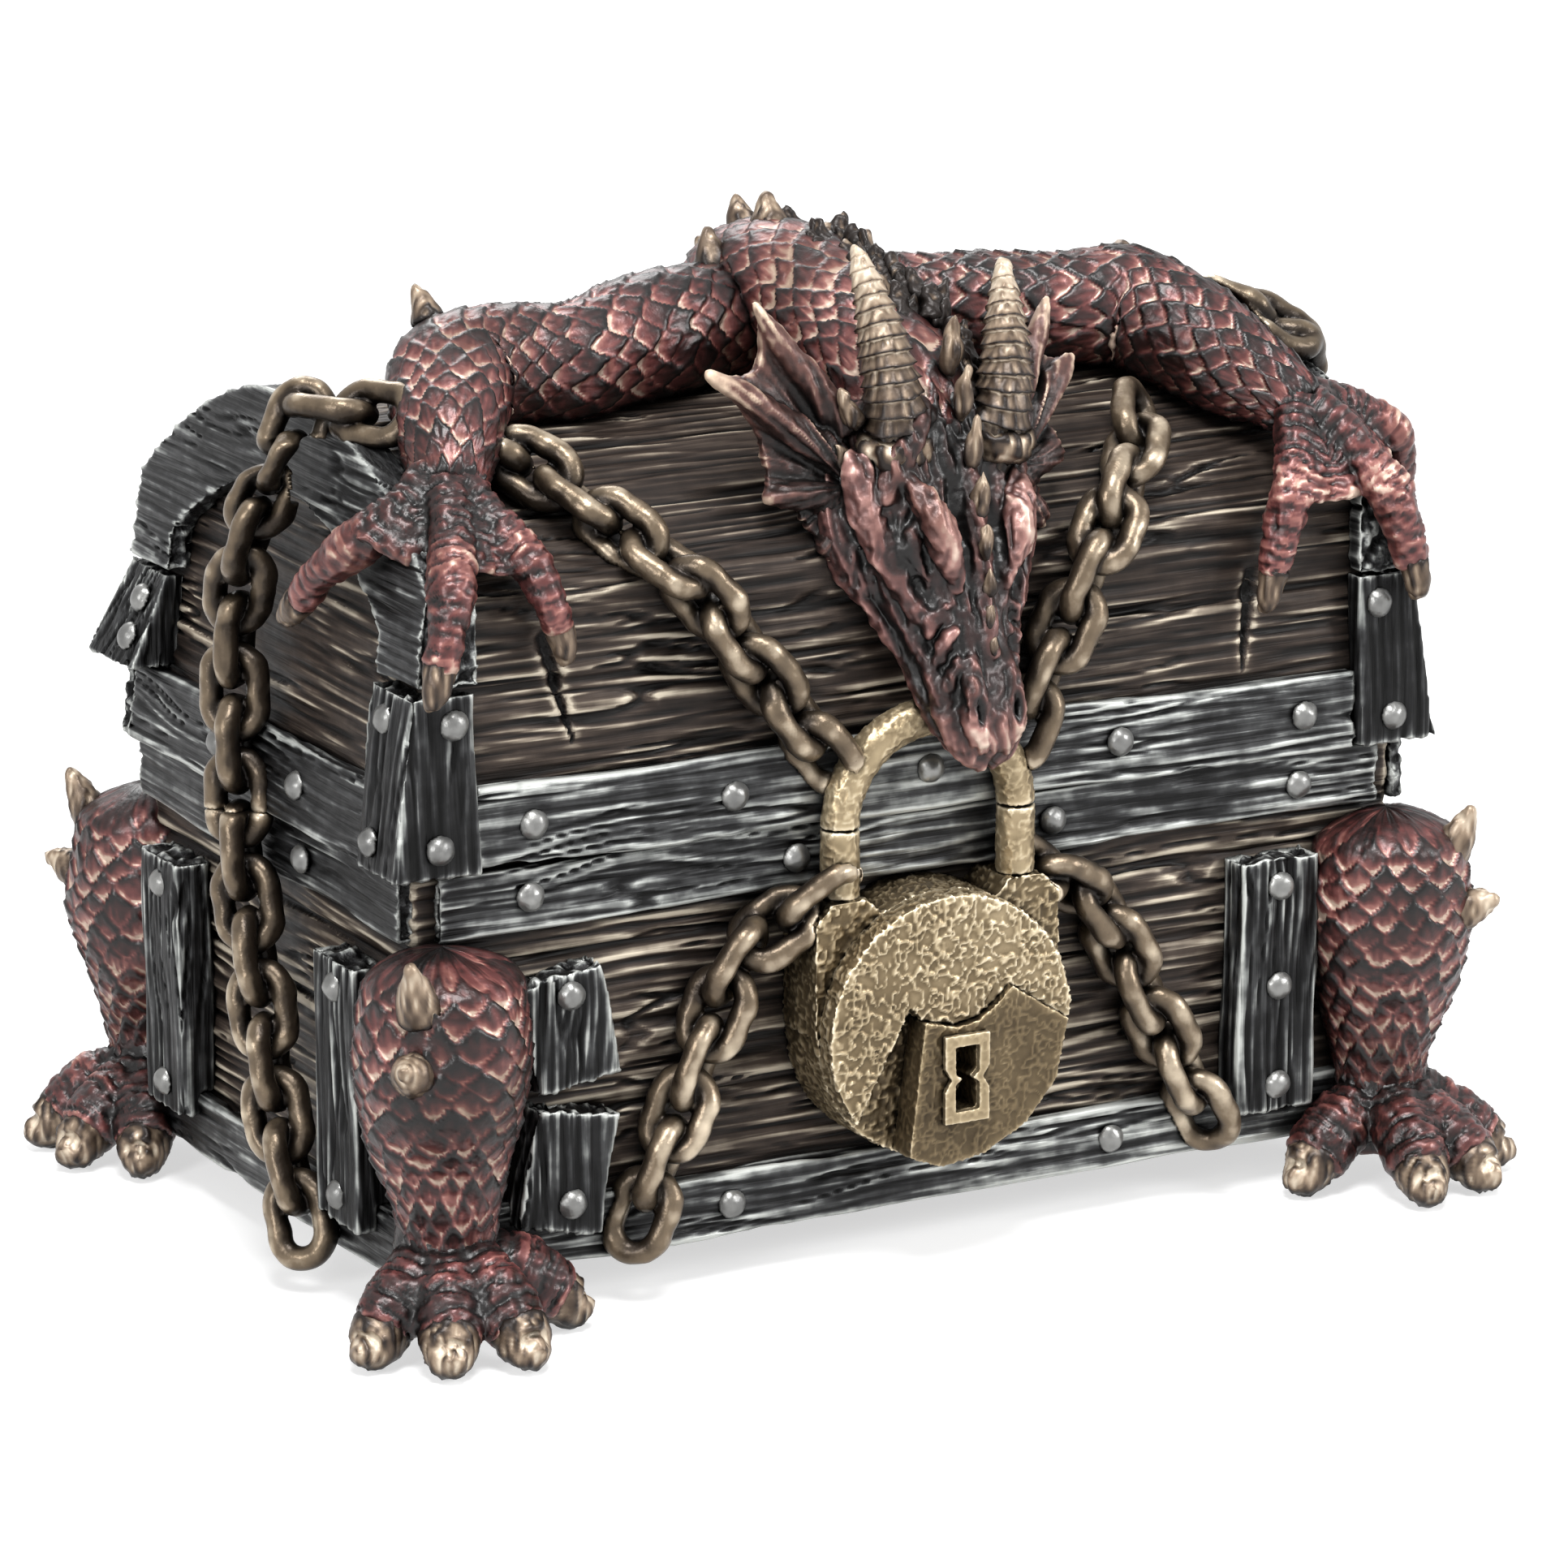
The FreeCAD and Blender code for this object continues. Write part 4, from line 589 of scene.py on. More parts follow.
CHAINS = [(f"chain_base_{name}", "base") for name in ("front_left", "front_right", "left", "right")]
CHAINS += [(f"chain_lid_{side}", "lid") for side in ENDS]
for number, (node, body) in enumerate(CHAINS):
    skin = node_skin(node, LINK_VOXEL)
    if node == "chain_lid_left":
        settled(skin)
    push(skin, lumps(1.4, 0.28, 300 + number, 0.14))
    # paler where the dry brush reached the outer side, and darker on the side that faces the box: painted
    # shade
    place_piece(f"{node}_links", skin, body, "chain", [node], rounds=24, proud=0.5,
                brush=0.22 * outer_side(skin) - 0.15)
for node, body in (("base_rivets", "base"), ("lid_rivets", "lid")):
    skin = node_skin(node, RIVET_VOXEL)
    push(skin, lumps(0.8, 0.14, 320, 0.1))
    place_piece(f"{node}_domes", skin, body, "rivets", [node], rounds=24, proud=0.4)

# %% [markdown]
# The padlock is beaten brass. Its hammered skin is a pattern of short worm-like ridges, which follow the line
# where the sum of two noises crosses zero. A cell noise would give round dents instead.

# %% Padlock


def hammered(size, height, seed):
    def field(points, normals):
        first = cloud(points, size, seed) - 0.5
        second = cloud(points, size * 0.55, seed + 1) - 0.5
        ridge = np.clip(1 - np.abs(first + 0.8 * second) / 0.2, 0, 1)
        return height * (ridge - 0.5) + 0.5 * height * (cloud(points, 3.5, seed + 2) - 0.5)
    return field


# node, body, voxel, height of the ridges, and how much more or less the brush gave
BRASS = (("padlock_case", "base", 0.22, 0.22, -0.08), ("padlock_disc", "base", 0.16, 0.22, 0.02),
         ("padlock_cover", "base", 0.16, 0.11, -0.15), ("keyhole_frame", "base", 0.13, 0.05, 0.06),
         ("shackle_stubs", "base", 0.2, 0.1, 0.0), ("padlock_shackle", "lid", 0.2, 0.1, 0.0))
for node, body, voxel, height, shade in BRASS:
    skin = node_skin(node, voxel)
    push(skin, hammered(0.8, height, 350))
    place_piece(f"{node}_brass", skin, body, "lock", [node], rounds=20, proud=0.26, brush=shade)

# %% [markdown]
# Limbs, horns and claws are all tubes: a smooth path with a half width and a half height at each station. A
# bevelled curve would do for round ones, but its section keeps one shape all the way. Here a spline through
# the stations gives the line, and a ring is set square to it at even steps.

# %% Tubes


def spline(stations, spacing):
    """A smooth line through rows of numbers, at even steps; the first three numbers are the place."""
    rows = np.asarray(stations, float)
    rows = np.vstack((2 * rows[0] - rows[1], rows, 2 * rows[-1] - rows[-2]))
    t = np.linspace(0, 1, 24, endpoint=False)[:, None]
    parts = [0.5 * (2 * b + (c - a) * t + (2 * a - 5 * b + 4 * c - d) * t ** 2
                    + (3 * b - a - 3 * c + d) * t ** 3)
             for a, b, c, d in zip(rows, rows[1:], rows[2:], rows[3:])]
    fine = np.vstack(parts + [rows[-2:-1]])
    run = np.concatenate(([0], np.cumsum(np.linalg.norm(np.diff(fine[:, :3], axis=0), axis=1))))
    steps = np.linspace(0, run[-1], max(4, int(run[-1] / spacing) + 1))
    return np.stack([np.interp(steps, run, column) for column in fine.T], 1), steps


def tube(stations, spacing, girth, up, cap):
    """A closed tube: its points, faces, and for each point the way along it and the turn round it."""
    path, run = spline(stations, spacing)
    centre = path[:, :3]
    end = np.minimum(run, run[-1] - run)
    dome = np.sqrt(np.clip(1 - (1 - np.clip(end / cap, 0, 1)) ** 2, 0.0004, 1))
    half = path[:, 3:5] * dome[:, None]
    ahead = unit(np.gradient(centre, axis=0))
    tops = []
    top = np.array(up, float)
    for way in ahead:
        top = unit(top - way * (top @ way))
        tops.append(top)
    tops = np.array(tops)
    sides = np.cross(ahead, tops)
    turn = np.linspace(0, 2 * np.pi, girth, endpoint=False)
    points = (centre[:, None] + sides[:, None] * (half[:, :1] * np.cos(turn))[..., None]
              + tops[:, None] * (half[:, 1:] * np.sin(turn))[..., None]).reshape(-1, 3)
    rings = len(run)
    first = np.arange(girth)
    after = (first + 1) % girth
    faces = []
    for ring in range(rings - 1):
        low, high = ring * girth, (ring + 1) * girth
        faces += np.stack((low + first, low + after, high + after, high + first), 1).tolist()
    faces += [list(range(girth - 1, -1, -1)), list(range((rings - 1) * girth, rings * girth))]
    return points, faces, np.repeat(run, girth), np.tile(turn, rings)


straight = ((0, 0, 0, 1, 1), (10, 0, 0, 1, 1))
print("a short tube has", len(tube(straight, 1.0, 12, (0, 0, 1), 0.5)[0]), "points")

# %% [markdown]
# Scales lie in rows round a limb, each row half a scale on from the last, and each scale laps over the next
# one. A mesh for every scale would be heavy, and on the casting they are only relief, so they are carved too.
# The height climbs from the root of a scale to its pointed tip and has a rim. Each scale also gets a chance
# of its own, so that some are paler than others. The rows fade at the round ends of a limb.

# %% Scales
SCALE_STEP, SCALE_HEIGHT = 0.26, 0.8


def scales(along, around, seed):
    """Heights from 0 to 1 of pointed scales in lapping rows, and a fixed chance for each scale."""
    height = np.zeros(len(along))
    luck = np.zeros(len(along))
    row = np.floor(along)
    done = np.zeros(len(along), bool)
    for lap in (1, 0):
        reach = (along - row + lap) / 1.6
        spot = around + ((row - lap) % 2) / 2
        across = np.abs(spot % 1 - 0.5)
        half = 0.5 * (1 - np.clip((reach - 0.36) / 0.64, 0, 1) ** 2.0)
        inside = ~done & (reach <= 1) & (across < half) if lap else ~done
        edge = half - across
        tip = 1 - reach
        rim = np.exp(-(np.minimum(edge, 0.8 * tip) / 0.09) ** 2)
        value = ((0.15 + 0.75 * reach) * (1 - across ** 2) * (0.25 + 0.75 * np.clip(edge / 0.1, 0, 1))
                 + 0.34 * rim)
        cell = np.stack((row - lap, np.floor(spot), 0 * row), 1)
        height[inside] = value[inside]
        luck[inside] = chance(cell, seed)[inside]
        done |= inside
    return height, luck


def scaly(name, stations, body, nodes, size=2.5, girth=150, up=(0, 0, 1), cap=1.5, seed=0, shade=0.0):
    """A limb covered in scales of a size, placed as one piece."""
    points, faces, along, turn = tube(stations, SCALE_STEP, girth, up, cap)
    width = np.mean([row[3] + row[4] for row in stations])
    count = max(6, round(math.pi * width / size))
    skin = skin_from(points, faces)
    spots, _ = read_skin(skin)
    slip = along / (size * 0.78) + 0.8 * (cloud(spots, 4, seed) - 0.5)
    swing = turn / (2 * np.pi) * count + 0.7 * (cloud(spots, 4, seed + 3) - 0.5)
    rise, luck = scales(slip, swing, seed)
    calm = np.clip(np.minimum(along, along.max() - along) / (1.4 * cap), 0.1, 1)
    stripes = cloud(np.stack((slip * 1.2, swing * 9, 0 * slip), 1), 1, seed + 4) - 0.5

    def field(spots, normals):
        return (SCALE_HEIGHT * calm * (rise * (0.8 + 0.4 * luck) - 0.4)
                + 0.9 * (cloud(spots, 6, seed + 1) - 0.5)
                + 0.12 * stripes + 0.14 * (cloud(spots, 0.6, seed + 2) - 0.5))
    push(skin, field)
    place_piece(name, skin, body, "dragon", nodes, rounds=14, proud=0.23,
                brush=0.3 * (luck - 0.45) + shade)


print("heights along a scale", scales(np.linspace(0, 1, 5), np.zeros(5), 0)[0].round(2))

# %% [markdown]
# The dragon lies over the crown of the lid: tail behind, a high back with the neck running down over the
# front, and an arm stretched to each corner. Each is a scaly tube, sunk a little into the planks.

# %% The dragon's back, tail and arms
# each row is a place on the way and the half width and half height there
BACK = ((26, 20, 74.5, 2.2, 2.0), (17, 24.5, 72.6, 3.6, 3.2), (9, 23, 74.6, 5.0, 4.4),
        (4, 16.6, 78.6, 6.2, 5.4), (3.4, 8.6, 82.8, 8.0, 6.6), (2.8, 0, 84.4, 9.4, 6.8),
        (2.4, -8, 84, 8.8, 6.6), (2, -16, 82, 7.6, 6.2), (2, -22.5, 79, 7.2, 6.0), (2, -27.5, 74, 7.0, 5.2))
LEFT_ARM = ((1, 2, 82.2, 5.8, 5.6), (-8, -0.8, 82.8, 6.2, 6.0), (-16, -3.4, 82.7, 6.3, 6.0),
            (-23, -5, 81.9, 5.9, 5.7), (-30, -5.4, 82, 5.9, 5.8), (-36, -6.8, 82, 5.9, 5.9),
            (-39, -11.6, 80.8, 5.5, 5.5), (-41.4, -16.8, 78.9, 4.9, 4.8), (-43.4, -20.7, 76.8, 3.8, 3.7),
            (-44.6, -23.4, 75, 3.2, 2.9))
RIGHT_ARM = ((4, 2, 81, 5.8, 5.6), (13, -0.4, 82.2, 5.8, 5.6), (20, -3.8, 82.8, 5.6, 5.4),
             (27, -7.2, 82.6, 5.7, 5.5), (33, -9.8, 82.6, 6.0, 5.8), (36.4, -14.6, 80.6, 5.7, 5.6),
             (38.8, -19.8, 78, 5.0, 4.8), (41.2, -24, 76, 3.8, 3.6), (42.4, -26.8, 74, 3.2, 2.9))
scaly("dragon_back", BACK, "lid", ["dragon_tail", "dragon_torso", "dragon_neck"], size=2.3,
      girth=200, seed=400, shade=0.1)
scaly("dragon_left_arm", LEFT_ARM, "lid", ["dragon_arm_left"], seed=410)
scaly("dragon_right_arm", RIGHT_ARM, "lid", ["dragon_arm_right"], seed=420)

# %% [markdown]
# Horns, claws and spines are bare bone: tapered tubes with a slight bend. The horns carry close rings, made
# by letting the radius swell and step back along the way. Claws and spines only have fine cracks. All the
# claws of one kind make one piece, because they are painted alike and move together.

# %% Bone


def gathered(tubes, spacing, girth, up):
    """Several tubes as one set of points and faces, with the way along each and its share of the whole."""
    points, faces, along, share, count = [], [], [], [], 0
    for stations in tubes:
        made, quads, way, _ = tube(stations, spacing, girth, up, 0.6)
        points.append(made)
        faces += [[corner + count for corner in face] for face in quads]
        along.append(way)
        share.append(way / way.max())
        count += len(made)
    return np.vstack(points), faces, np.concatenate(along), np.concatenate(share)


def bony(name, tubes, body, nodes, rings=0.0, ring_height=0.0, seed=0, girth=40, spacing=0.16, cracks=0.2,
         shade=0.0, fade=0.3):
    """A group of tapered tubes as one piece, paler towards the tips."""
    points, faces, way, share = gathered(tubes, spacing, girth, (0.3, -0.9, 0.2))
    skin = skin_from(points, faces)

    def field(spots, normals):
        rise = cracks * 2 * (cloud(spots, (0.45, 0.45, 1.6), seed) - 0.6)
        if rings:
            step = way / rings + 0.3 * cloud(spots, 2.5, seed + 1)
            rise += ring_height * ((step % 1) ** 0.6 - 0.5) * (1 - share ** 4)
        return rise
    push(skin, field)
    place_piece(name, skin, body, "horn", nodes, rounds=12, proud=0.22,
                brush=fade * (share - 0.35) + shade)


def spikes(rows):
    """Tapered stations from a root to a tip for each row of root, tip and radius."""
    tubes = []
    for x0, y0, z0, x1, y1, z1, radius in rows:
        root, tip = np.array((x0, y0, z0)), np.array((x1, y1, z1))
        tubes.append(((*root, radius, radius), (*(0.55 * root + 0.45 * tip), 0.74 * radius, 0.74 * radius),
                      (*tip, 0.16 * radius, 0.16 * radius)))
    return tubes


print("one spike has", len(spikes([(0, 0, 0, 0, 0, 4, 1)])[0]), "stations")

# %% [markdown]
# Each horn stands on a pale collar. Single spines run along the back, with a small one at each elbow. Between
# the horns and down the neck there is a mane: many short dark locks, set at fixed chances round one line.

# %% Horns, spines and mane
HORNS = (((-2.2, -27.4, 73.6, 2.9, 2.9), (-2.6, -28.8, 77.6, 2.9, 2.9), (-3.0, -28.8, 81.6, 2.6, 2.6),
          (-3.4, -27.2, 87, 2.1, 2.1), (-3.9, -24.4, 92.6, 0.9, 0.9), (-4.1, -23.4, 94, 0.3, 0.3)),
         ((7.0, -27.4, 73.2, 2.8, 2.8), (7.8, -29, 77.2, 2.8, 2.8), (8.6, -29, 81, 2.5, 2.5),
          (9.6, -27.4, 85.6, 2.0, 2.0), (10.8, -24.8, 90.4, 0.9, 0.9), (11.1, -24, 91.6, 0.3, 0.3)))
bony("dragon_horn_pair", HORNS, "lid", ["dragon_horns"], rings=1.3, ring_height=0.62, seed=500, girth=64,
     spacing=0.1, fade=0.62, shade=-0.06)
COLLARS = (((-2.7, -28.2, 75.2, 3.1, 2.9), (-2.75, -28.7, 76.6, 3.8, 3.6), (-2.8, -29, 78, 3.1, 2.9)),
           ((7.6, -28.4, 74.8, 3.0, 2.8), (7.7, -28.9, 76.2, 3.7, 3.5), (7.8, -29.2, 77.6, 3.0, 2.8)))
bony("dragon_horn_collars", COLLARS, "lid", [], seed=505, girth=48, spacing=0.12, cracks=0.5, shade=0.16,
     fade=0.0)
# root, tip and radius of each spine
BACK_SPINES = ((-5.2, 1, 87.2, -5.9, 1.8, 91.8, 2.1), (1.2, 1.5, 88.6, 1.0, 2.8, 94.4, 2.6),
               (4.6, -3.5, 88.6, 4.7, -2.2, 92, 1.8), (4.0, -8.5, 88, 4.2, -7, 91.2, 1.8),
               (3.4, -13, 87, 3.4, -11.4, 91, 1.7), (2.8, -17.4, 85.4, 2.8, -15.6, 89.6, 1.7),
               (11, 2, 86, 12.2, 3.2, 89.8, 1.7), (2.2, 8.6, 88, 2.2, 11, 92.8, 2.0),
               (2.4, 16, 83.4, 2.6, 19, 87.4, 1.8))
ELBOWS = ((-37, -3.6, 86.4, -37.6, -1.8, 89.8, 1.6), (34.8, -6.4, 86.4, 35.1, -4.8, 88, 1.4))
bony("dragon_back_spines", spikes(BACK_SPINES + ELBOWS), "lid", ["dragon_spines"], seed=510)
LOCK_STEP = 0.55
MANE = ((0.5, 2, 90.6), (3.2, -6, 90.4), (4.2, -13, 89), (4.6, -19, 87), (4.4, -24, 84.2), (3.4, -28, 80.4))
locks = []
for number, spot in enumerate(spline(MANE, LOCK_STEP)[0]):
    luck = [chance(np.array([[number, turn, 0]]), 520)[0] - 0.5 for turn in range(4)]
    foot = spot + np.array((5.6 * luck[0], 0, -1.2 - 2.4 * luck[0] ** 2))
    tip = foot + np.array((2.8 * luck[1] + 1.6 * luck[0], 1.4 + 2.0 * luck[2], 2.9 + 2.2 * luck[3]))
    locks.append((*foot, *tip, 1.3 + 0.6 * luck[2]))
bony("dragon_mane", spikes(locks), "lid", [], seed=530, girth=20, spacing=0.2, cracks=0.4, shade=-0.3)

# %% [markdown]
# The head is one long wedge that hangs over the front of the lid, tilted steeply and rolled a little to one
# side. It is drawn in its own frame: across, along from the skull to the snout, and high above its middle.

# %% Head frame
HEAD_TILT = math.radians(65)
HEAD_ROLL = math.radians(11)
HEAD_BACK = np.array((2.2, -24.1, 79.0))
HEAD_WAY = np.array((0, -math.cos(HEAD_TILT), -math.sin(HEAD_TILT)))
UPRIGHT = np.array((0, -math.sin(HEAD_TILT), math.cos(HEAD_TILT)))
HEAD_SIDE = np.array((math.cos(HEAD_ROLL), 0, 0)) - math.sin(HEAD_ROLL) * UPRIGHT
HEAD_TOP = np.array((math.sin(HEAD_ROLL), 0, 0)) + math.cos(HEAD_ROLL) * UPRIGHT


def on_head(across, along, high):
    return HEAD_BACK + HEAD_SIDE * across + HEAD_WAY * along + HEAD_TOP * high


print("30 mm down the head lies", on_head(0, 30, 0).round(1))

# %% [markdown]
# As a modeller in clay would, the wedge and the jaw are laid first, then rolls for the brows, cheeks, lips,
# lids and nose, and a small ball for each eye. Every form is a tube, and both halves use the same rows.

# %% Head forms
# along, half width and half height of the wedge, then along, high, half width and half height of the jaw
WEDGE = ((-1.5, 5.0, 3.4), (0.5, 7.6, 5.0), (4, 9.0, 5.4), (9, 9.0, 4.9), (13, 7.9, 4.5), (17, 6.2, 3.9),
         (21, 4.7, 3.3), (25, 3.9, 2.9), (29, 3.6, 2.6), (32, 2.9, 2.0), (33.4, 1.4, 1.1))
JAW = ((3, -4.2, 5.6, 2.6), (12, -3.6, 5.4, 2.4), (22, -2.8, 3.6, 2.0), (30.5, -2.4, 2.4, 1.4))
# rolls on the right half, each a row of across, along, high and radius; the left half mirrors them
ROLLS = {
    "brow": ((6.4, 7.4, 3.8, 0.6), (5.6, 10.2, 4.8, 1.3), (4.6, 13.2, 5.1, 1.6), (3.4, 16.4, 4.2, 1.1),
             (2.4, 18.8, 3.3, 0.4)),
    "cheek": ((9.2, 4.0, 1.2, 1.2), (9.2, 9, 0.7, 1.7), (8.0, 13.6, 0.4, 1.6), (6.4, 17.6, 0.7, 1.2),
              (5.0, 21, 1.2, 0.8)),
    "jowl": ((9.4, 4.5, -2.2, 1.3), (10.2, 9.5, -2.6, 1.9), (9.3, 14, -2.7, 1.8), (7.2, 18, -2.6, 1.5),
             (5.0, 23, -2.4, 1.2), (3.7, 29, -2.2, 1.0), (1.4, 32.6, -2.0, 0.8)),
    "lip": ((7.8, 15.4, -0.9, 0.7), (6.0, 19.4, -0.7, 0.95), (4.8, 24, -0.5, 0.9), (4.0, 28.6, -0.4, 1.0),
            (2.5, 32.2, -0.7, 1.0), (0, 33.6, -0.9, 1.0)),
    "nose": ((1.9, 24.2, 2.2, 0.7), (2.3, 27.6, 2.1, 1.15), (2.2, 30.2, 1.5, 1.25), (1.2, 32.4, 0.7, 1.0)),
    "bridge": ((0, 5, 5.0, 1.0), (0, 12, 4.6, 1.2), (0, 18, 3.6, 1.1), (0, 25, 2.8, 0.9)),
    "upper_lid": ((5.6, 11.4, 3.2, 0.5), (6.5, 13.2, 3.0, 0.8), (6.0, 15.6, 2.5, 0.6), (4.8, 17.6, 2.2, 0.4)),
    "lower_lid": ((7.2, 11.6, 2.0, 0.5), (7.2, 14, 1.6, 0.65), (6.2, 16.6, 1.4, 0.5)),
    "temple": ((3.2, 1.0, 5.0, 1.1), (5.2, 3.6, 4.8, 1.4), (7.0, 6.8, 3.4, 1.2), (7.9, 10, 2.2, 0.8)),
    "snarl_one": ((3.2, 19.4, 3.0, 0.5), (4.6, 20.2, 1.8, 0.75), (5.4, 22.2, 0.5, 0.5)),
    "snarl_two": ((2.8, 21.8, 2.8, 0.5), (4.1, 22.8, 1.6, 0.7), (4.7, 24.8, 0.4, 0.5)),
    "snarl_three": ((2.6, 24.2, 2.6, 0.45), (3.6, 25.4, 1.5, 0.65), (4.2, 27.4, 0.3, 0.5)),
}
EYE = ((6.3, 12.8, 2.3, 0.8), (6.5, 13.8, 2.2, 1.1), (6.2, 14.8, 2.0, 0.8))


def head_rolls():
    """The wedge, the jaw and every roll, as tubes."""
    tubes = [[(*on_head(0, along, 0), width, high) for along, width, high in WEDGE],
             [(*on_head(0, along, high), width, thick) for along, high, width, thick in JAW]]
    for side in (-1, 1):
        for roll in (*ROLLS.values(), EYE):
            tubes.append([(*on_head(side * across, along, high), thick, thick)
                          for across, along, high, thick in roll])
    return tubes


print("head forms", len(head_rolls()))

# %% [markdown]
# All the forms are joined into one even skin and smoothed, because cutting and joining them exactly would
# leave sharp seams. Soft hollows then open the nostrils, the mouth and the space round the eyes, and fine
# strokes that run down the head stand for the folds. The same kind of soft spots tells the brush where to
# press, on the brows and the snout, and where to leave the wash. The dark ones in the eye sockets, the
# nostrils, the mouth line and between the brows are also painted shade, and the back of the skull is painted
# darker.

# %% Head skin
HEAD_VOXEL = 0.21
# across, along, high, push, and its spread across, along and high; each is mirrored
HOLLOWS = ((2.2, 29.6, 2.7, -1.7, 0.45, 1.0, 1.3), (2.2, 12, 4.6, -0.9, 0.8, 4.0, 1.5),
           (5.6, 17.4, 2.2, -0.6, 0.8, 1.4, 0.9), (7.4, 17.6, -1.7, -0.8, 2.0, 4.0, 0.5),
           (8.6, 11.4, -0.9, -0.7, 1.5, 3.0, 0.6))
# across, along, high, how much paler or darker, and its spread across, along and high; each is mirrored. The
# dark spots in the eye sockets, nostrils, mouth line and between the brows are painted shade
BRUSH_AND_SHADE_SPOTS = ((4.6, 13.2, 5.6, 0.36, 1.4, 3.2, 1.3), (6.6, 13.8, 2.4, -0.5, 1.2, 2.4, 1.3),
          (2.0, 11, 4.6, -0.45, 1.0, 5.0, 1.6), (1.8, 31.6, 1.6, 0.35, 2.4, 2.0, 2.0),
          (2.2, 29.6, 2.4, -0.8, 0.5, 1.0, 1.1), (9.2, 9, 0.9, 0.2, 1.4, 4.0, 1.4),
          (5.4, 21, -1.7, -0.4, 2.4, 7.0, 0.5), (0, 1, 5, -0.4, 6.0, 5.0, 3.0),
          (4.0, 24, 1.4, -0.12, 3.0, 5.0, 2.0))


def head_places(points):
    """How far each point lies across, along and high on the head."""
    spots = points - HEAD_BACK
    return np.stack((spots @ HEAD_SIDE, spots @ HEAD_WAY, spots @ HEAD_TOP), 1)


def soft_spots(points, rows):
    """The sum of soft spots on both halves of the head."""
    across, along, high = head_places(points).T
    total = np.zeros(len(points))
    for x, s, h, rise, wide, long, tall in rows:
        total += rise * np.exp(-((np.abs(across) - x) / wide) ** 2 - ((along - s) / long) ** 2
                               - ((high - h) / tall) ** 2)
    return total


def head_field(points, normals):
    """Hollows, then fine strokes that run down the head, and pores."""
    places = head_places(points)
    bent = places + 1.8 * np.stack([cloud(places, 3.0, seed) - 0.5 for seed in (604, 605, 606)], 1)
    strokes = cloud(bent, (0.55, 2.2, 0.55), 607) + 0.7 * cloud(bent, (0.9, 3.2, 0.9), 608) - 0.85
    scalp = np.clip((9 - places[:, 1]) / 5, 0, 1)
    pores = 0.2 * (cloud(points, 0.5, 601) - 0.5)
    return soft_spots(points, HOLLOWS) + (0.5 + 0.35 * scalp) * strokes + pores


points, faces, _, _ = gathered(head_rolls(), 0.4, 40, HEAD_TOP)
skin = evenly(skin_from(points, faces), HEAD_VOXEL)
soften(skin, 9)
push(skin, head_field)
spots, _ = read_skin(skin)
# brushing on the brows and the snout, and painted shade in the eye sockets, nostrils, mouth line and between
# the brows
place_piece("dragon_face", skin, "lid", "dragon", ["dragon_head", "dragon_snout"], rounds=44, proud=0.48,
            brush=soft_spots(spots, BRUSH_AND_SHADE_SPOTS) - 0.04, paint=FACE_PAINT)

# %% [markdown]
# A crest of small horns runs down the middle of the head, smaller towards the snout, and three barbs stand
# out from each cheek. They are bone like the horns, but they are set out in the frame of the head, so that
# they follow its tilt.

# %% Crest and barbs
# along, high, length and radius of each horn of the crest
CREST = ((-3.2, 5.6, 4.4, 1.0), (1.4, 6.0, 4.0, 0.95), (6.0, 6.0, 3.8, 0.9), (10.6, 5.5, 3.2, 0.85),
         (14.8, 4.8, 2.6, 0.8), (18.4, 4.2, 2.2, 0.75), (21.4, 3.7, 1.8, 0.65), (24, 3.4, 1.4, 0.55))
crest = []
for along, high, long, radius in CREST:
    foot, tip = on_head(0, along + 0.5 * long, high - 0.5), on_head(0, along - 0.7 * long, high + 0.5 * long)
    crest.append(((*foot, 0.3 * radius, 0.3 * radius), (*(0.6 * foot + 0.4 * tip), radius * 0.8, radius),
                  (*tip, 0.2 * radius, 0.2 * radius)))
# root and tip on the head, and radius
BARBS = ((9.2, 2.2, 2.0, 11.4, -1.0, 3.2, 1.0), (9.0, 6.2, 0.2, 11.2, 3.4, 0.8, 0.9),
         (8.2, 9.6, -1.6, 10.2, 7.4, -1.6, 0.8))
barbs = spikes([(*on_head(side * a, b, c), *on_head(side * d, e, f), radius)
                for a, b, c, d, e, f, radius in BARBS for side in (-1, 1)])
bony("dragon_crest", crest + barbs, "lid", [], seed=610, girth=32, spacing=0.12, cracks=0.35)

# %% [markdown]
# Each ear is a fan of bony ribs with a striped web between them. The ribs are curves from one root. A grid
# across them gives the web, drawn in at the edge between two ribs and hollow in the middle. A front and a
# back sheet close it into a thin solid, and a roll along each rib is joined to it.

# %% Ears
EAR_VOXEL = 0.24
RIB_ROWS = ((0, 1.6), (0.4, 1.4), (0.75, 1.1), (1.06, 0.4))


def rib_line(start, end, bend, reach):
    """Points on the way from the root to a tip, arched by a bend."""
    return start + (end - start) * reach + np.array(bend) * np.sin(np.pi * reach * 0.9) * 0.5


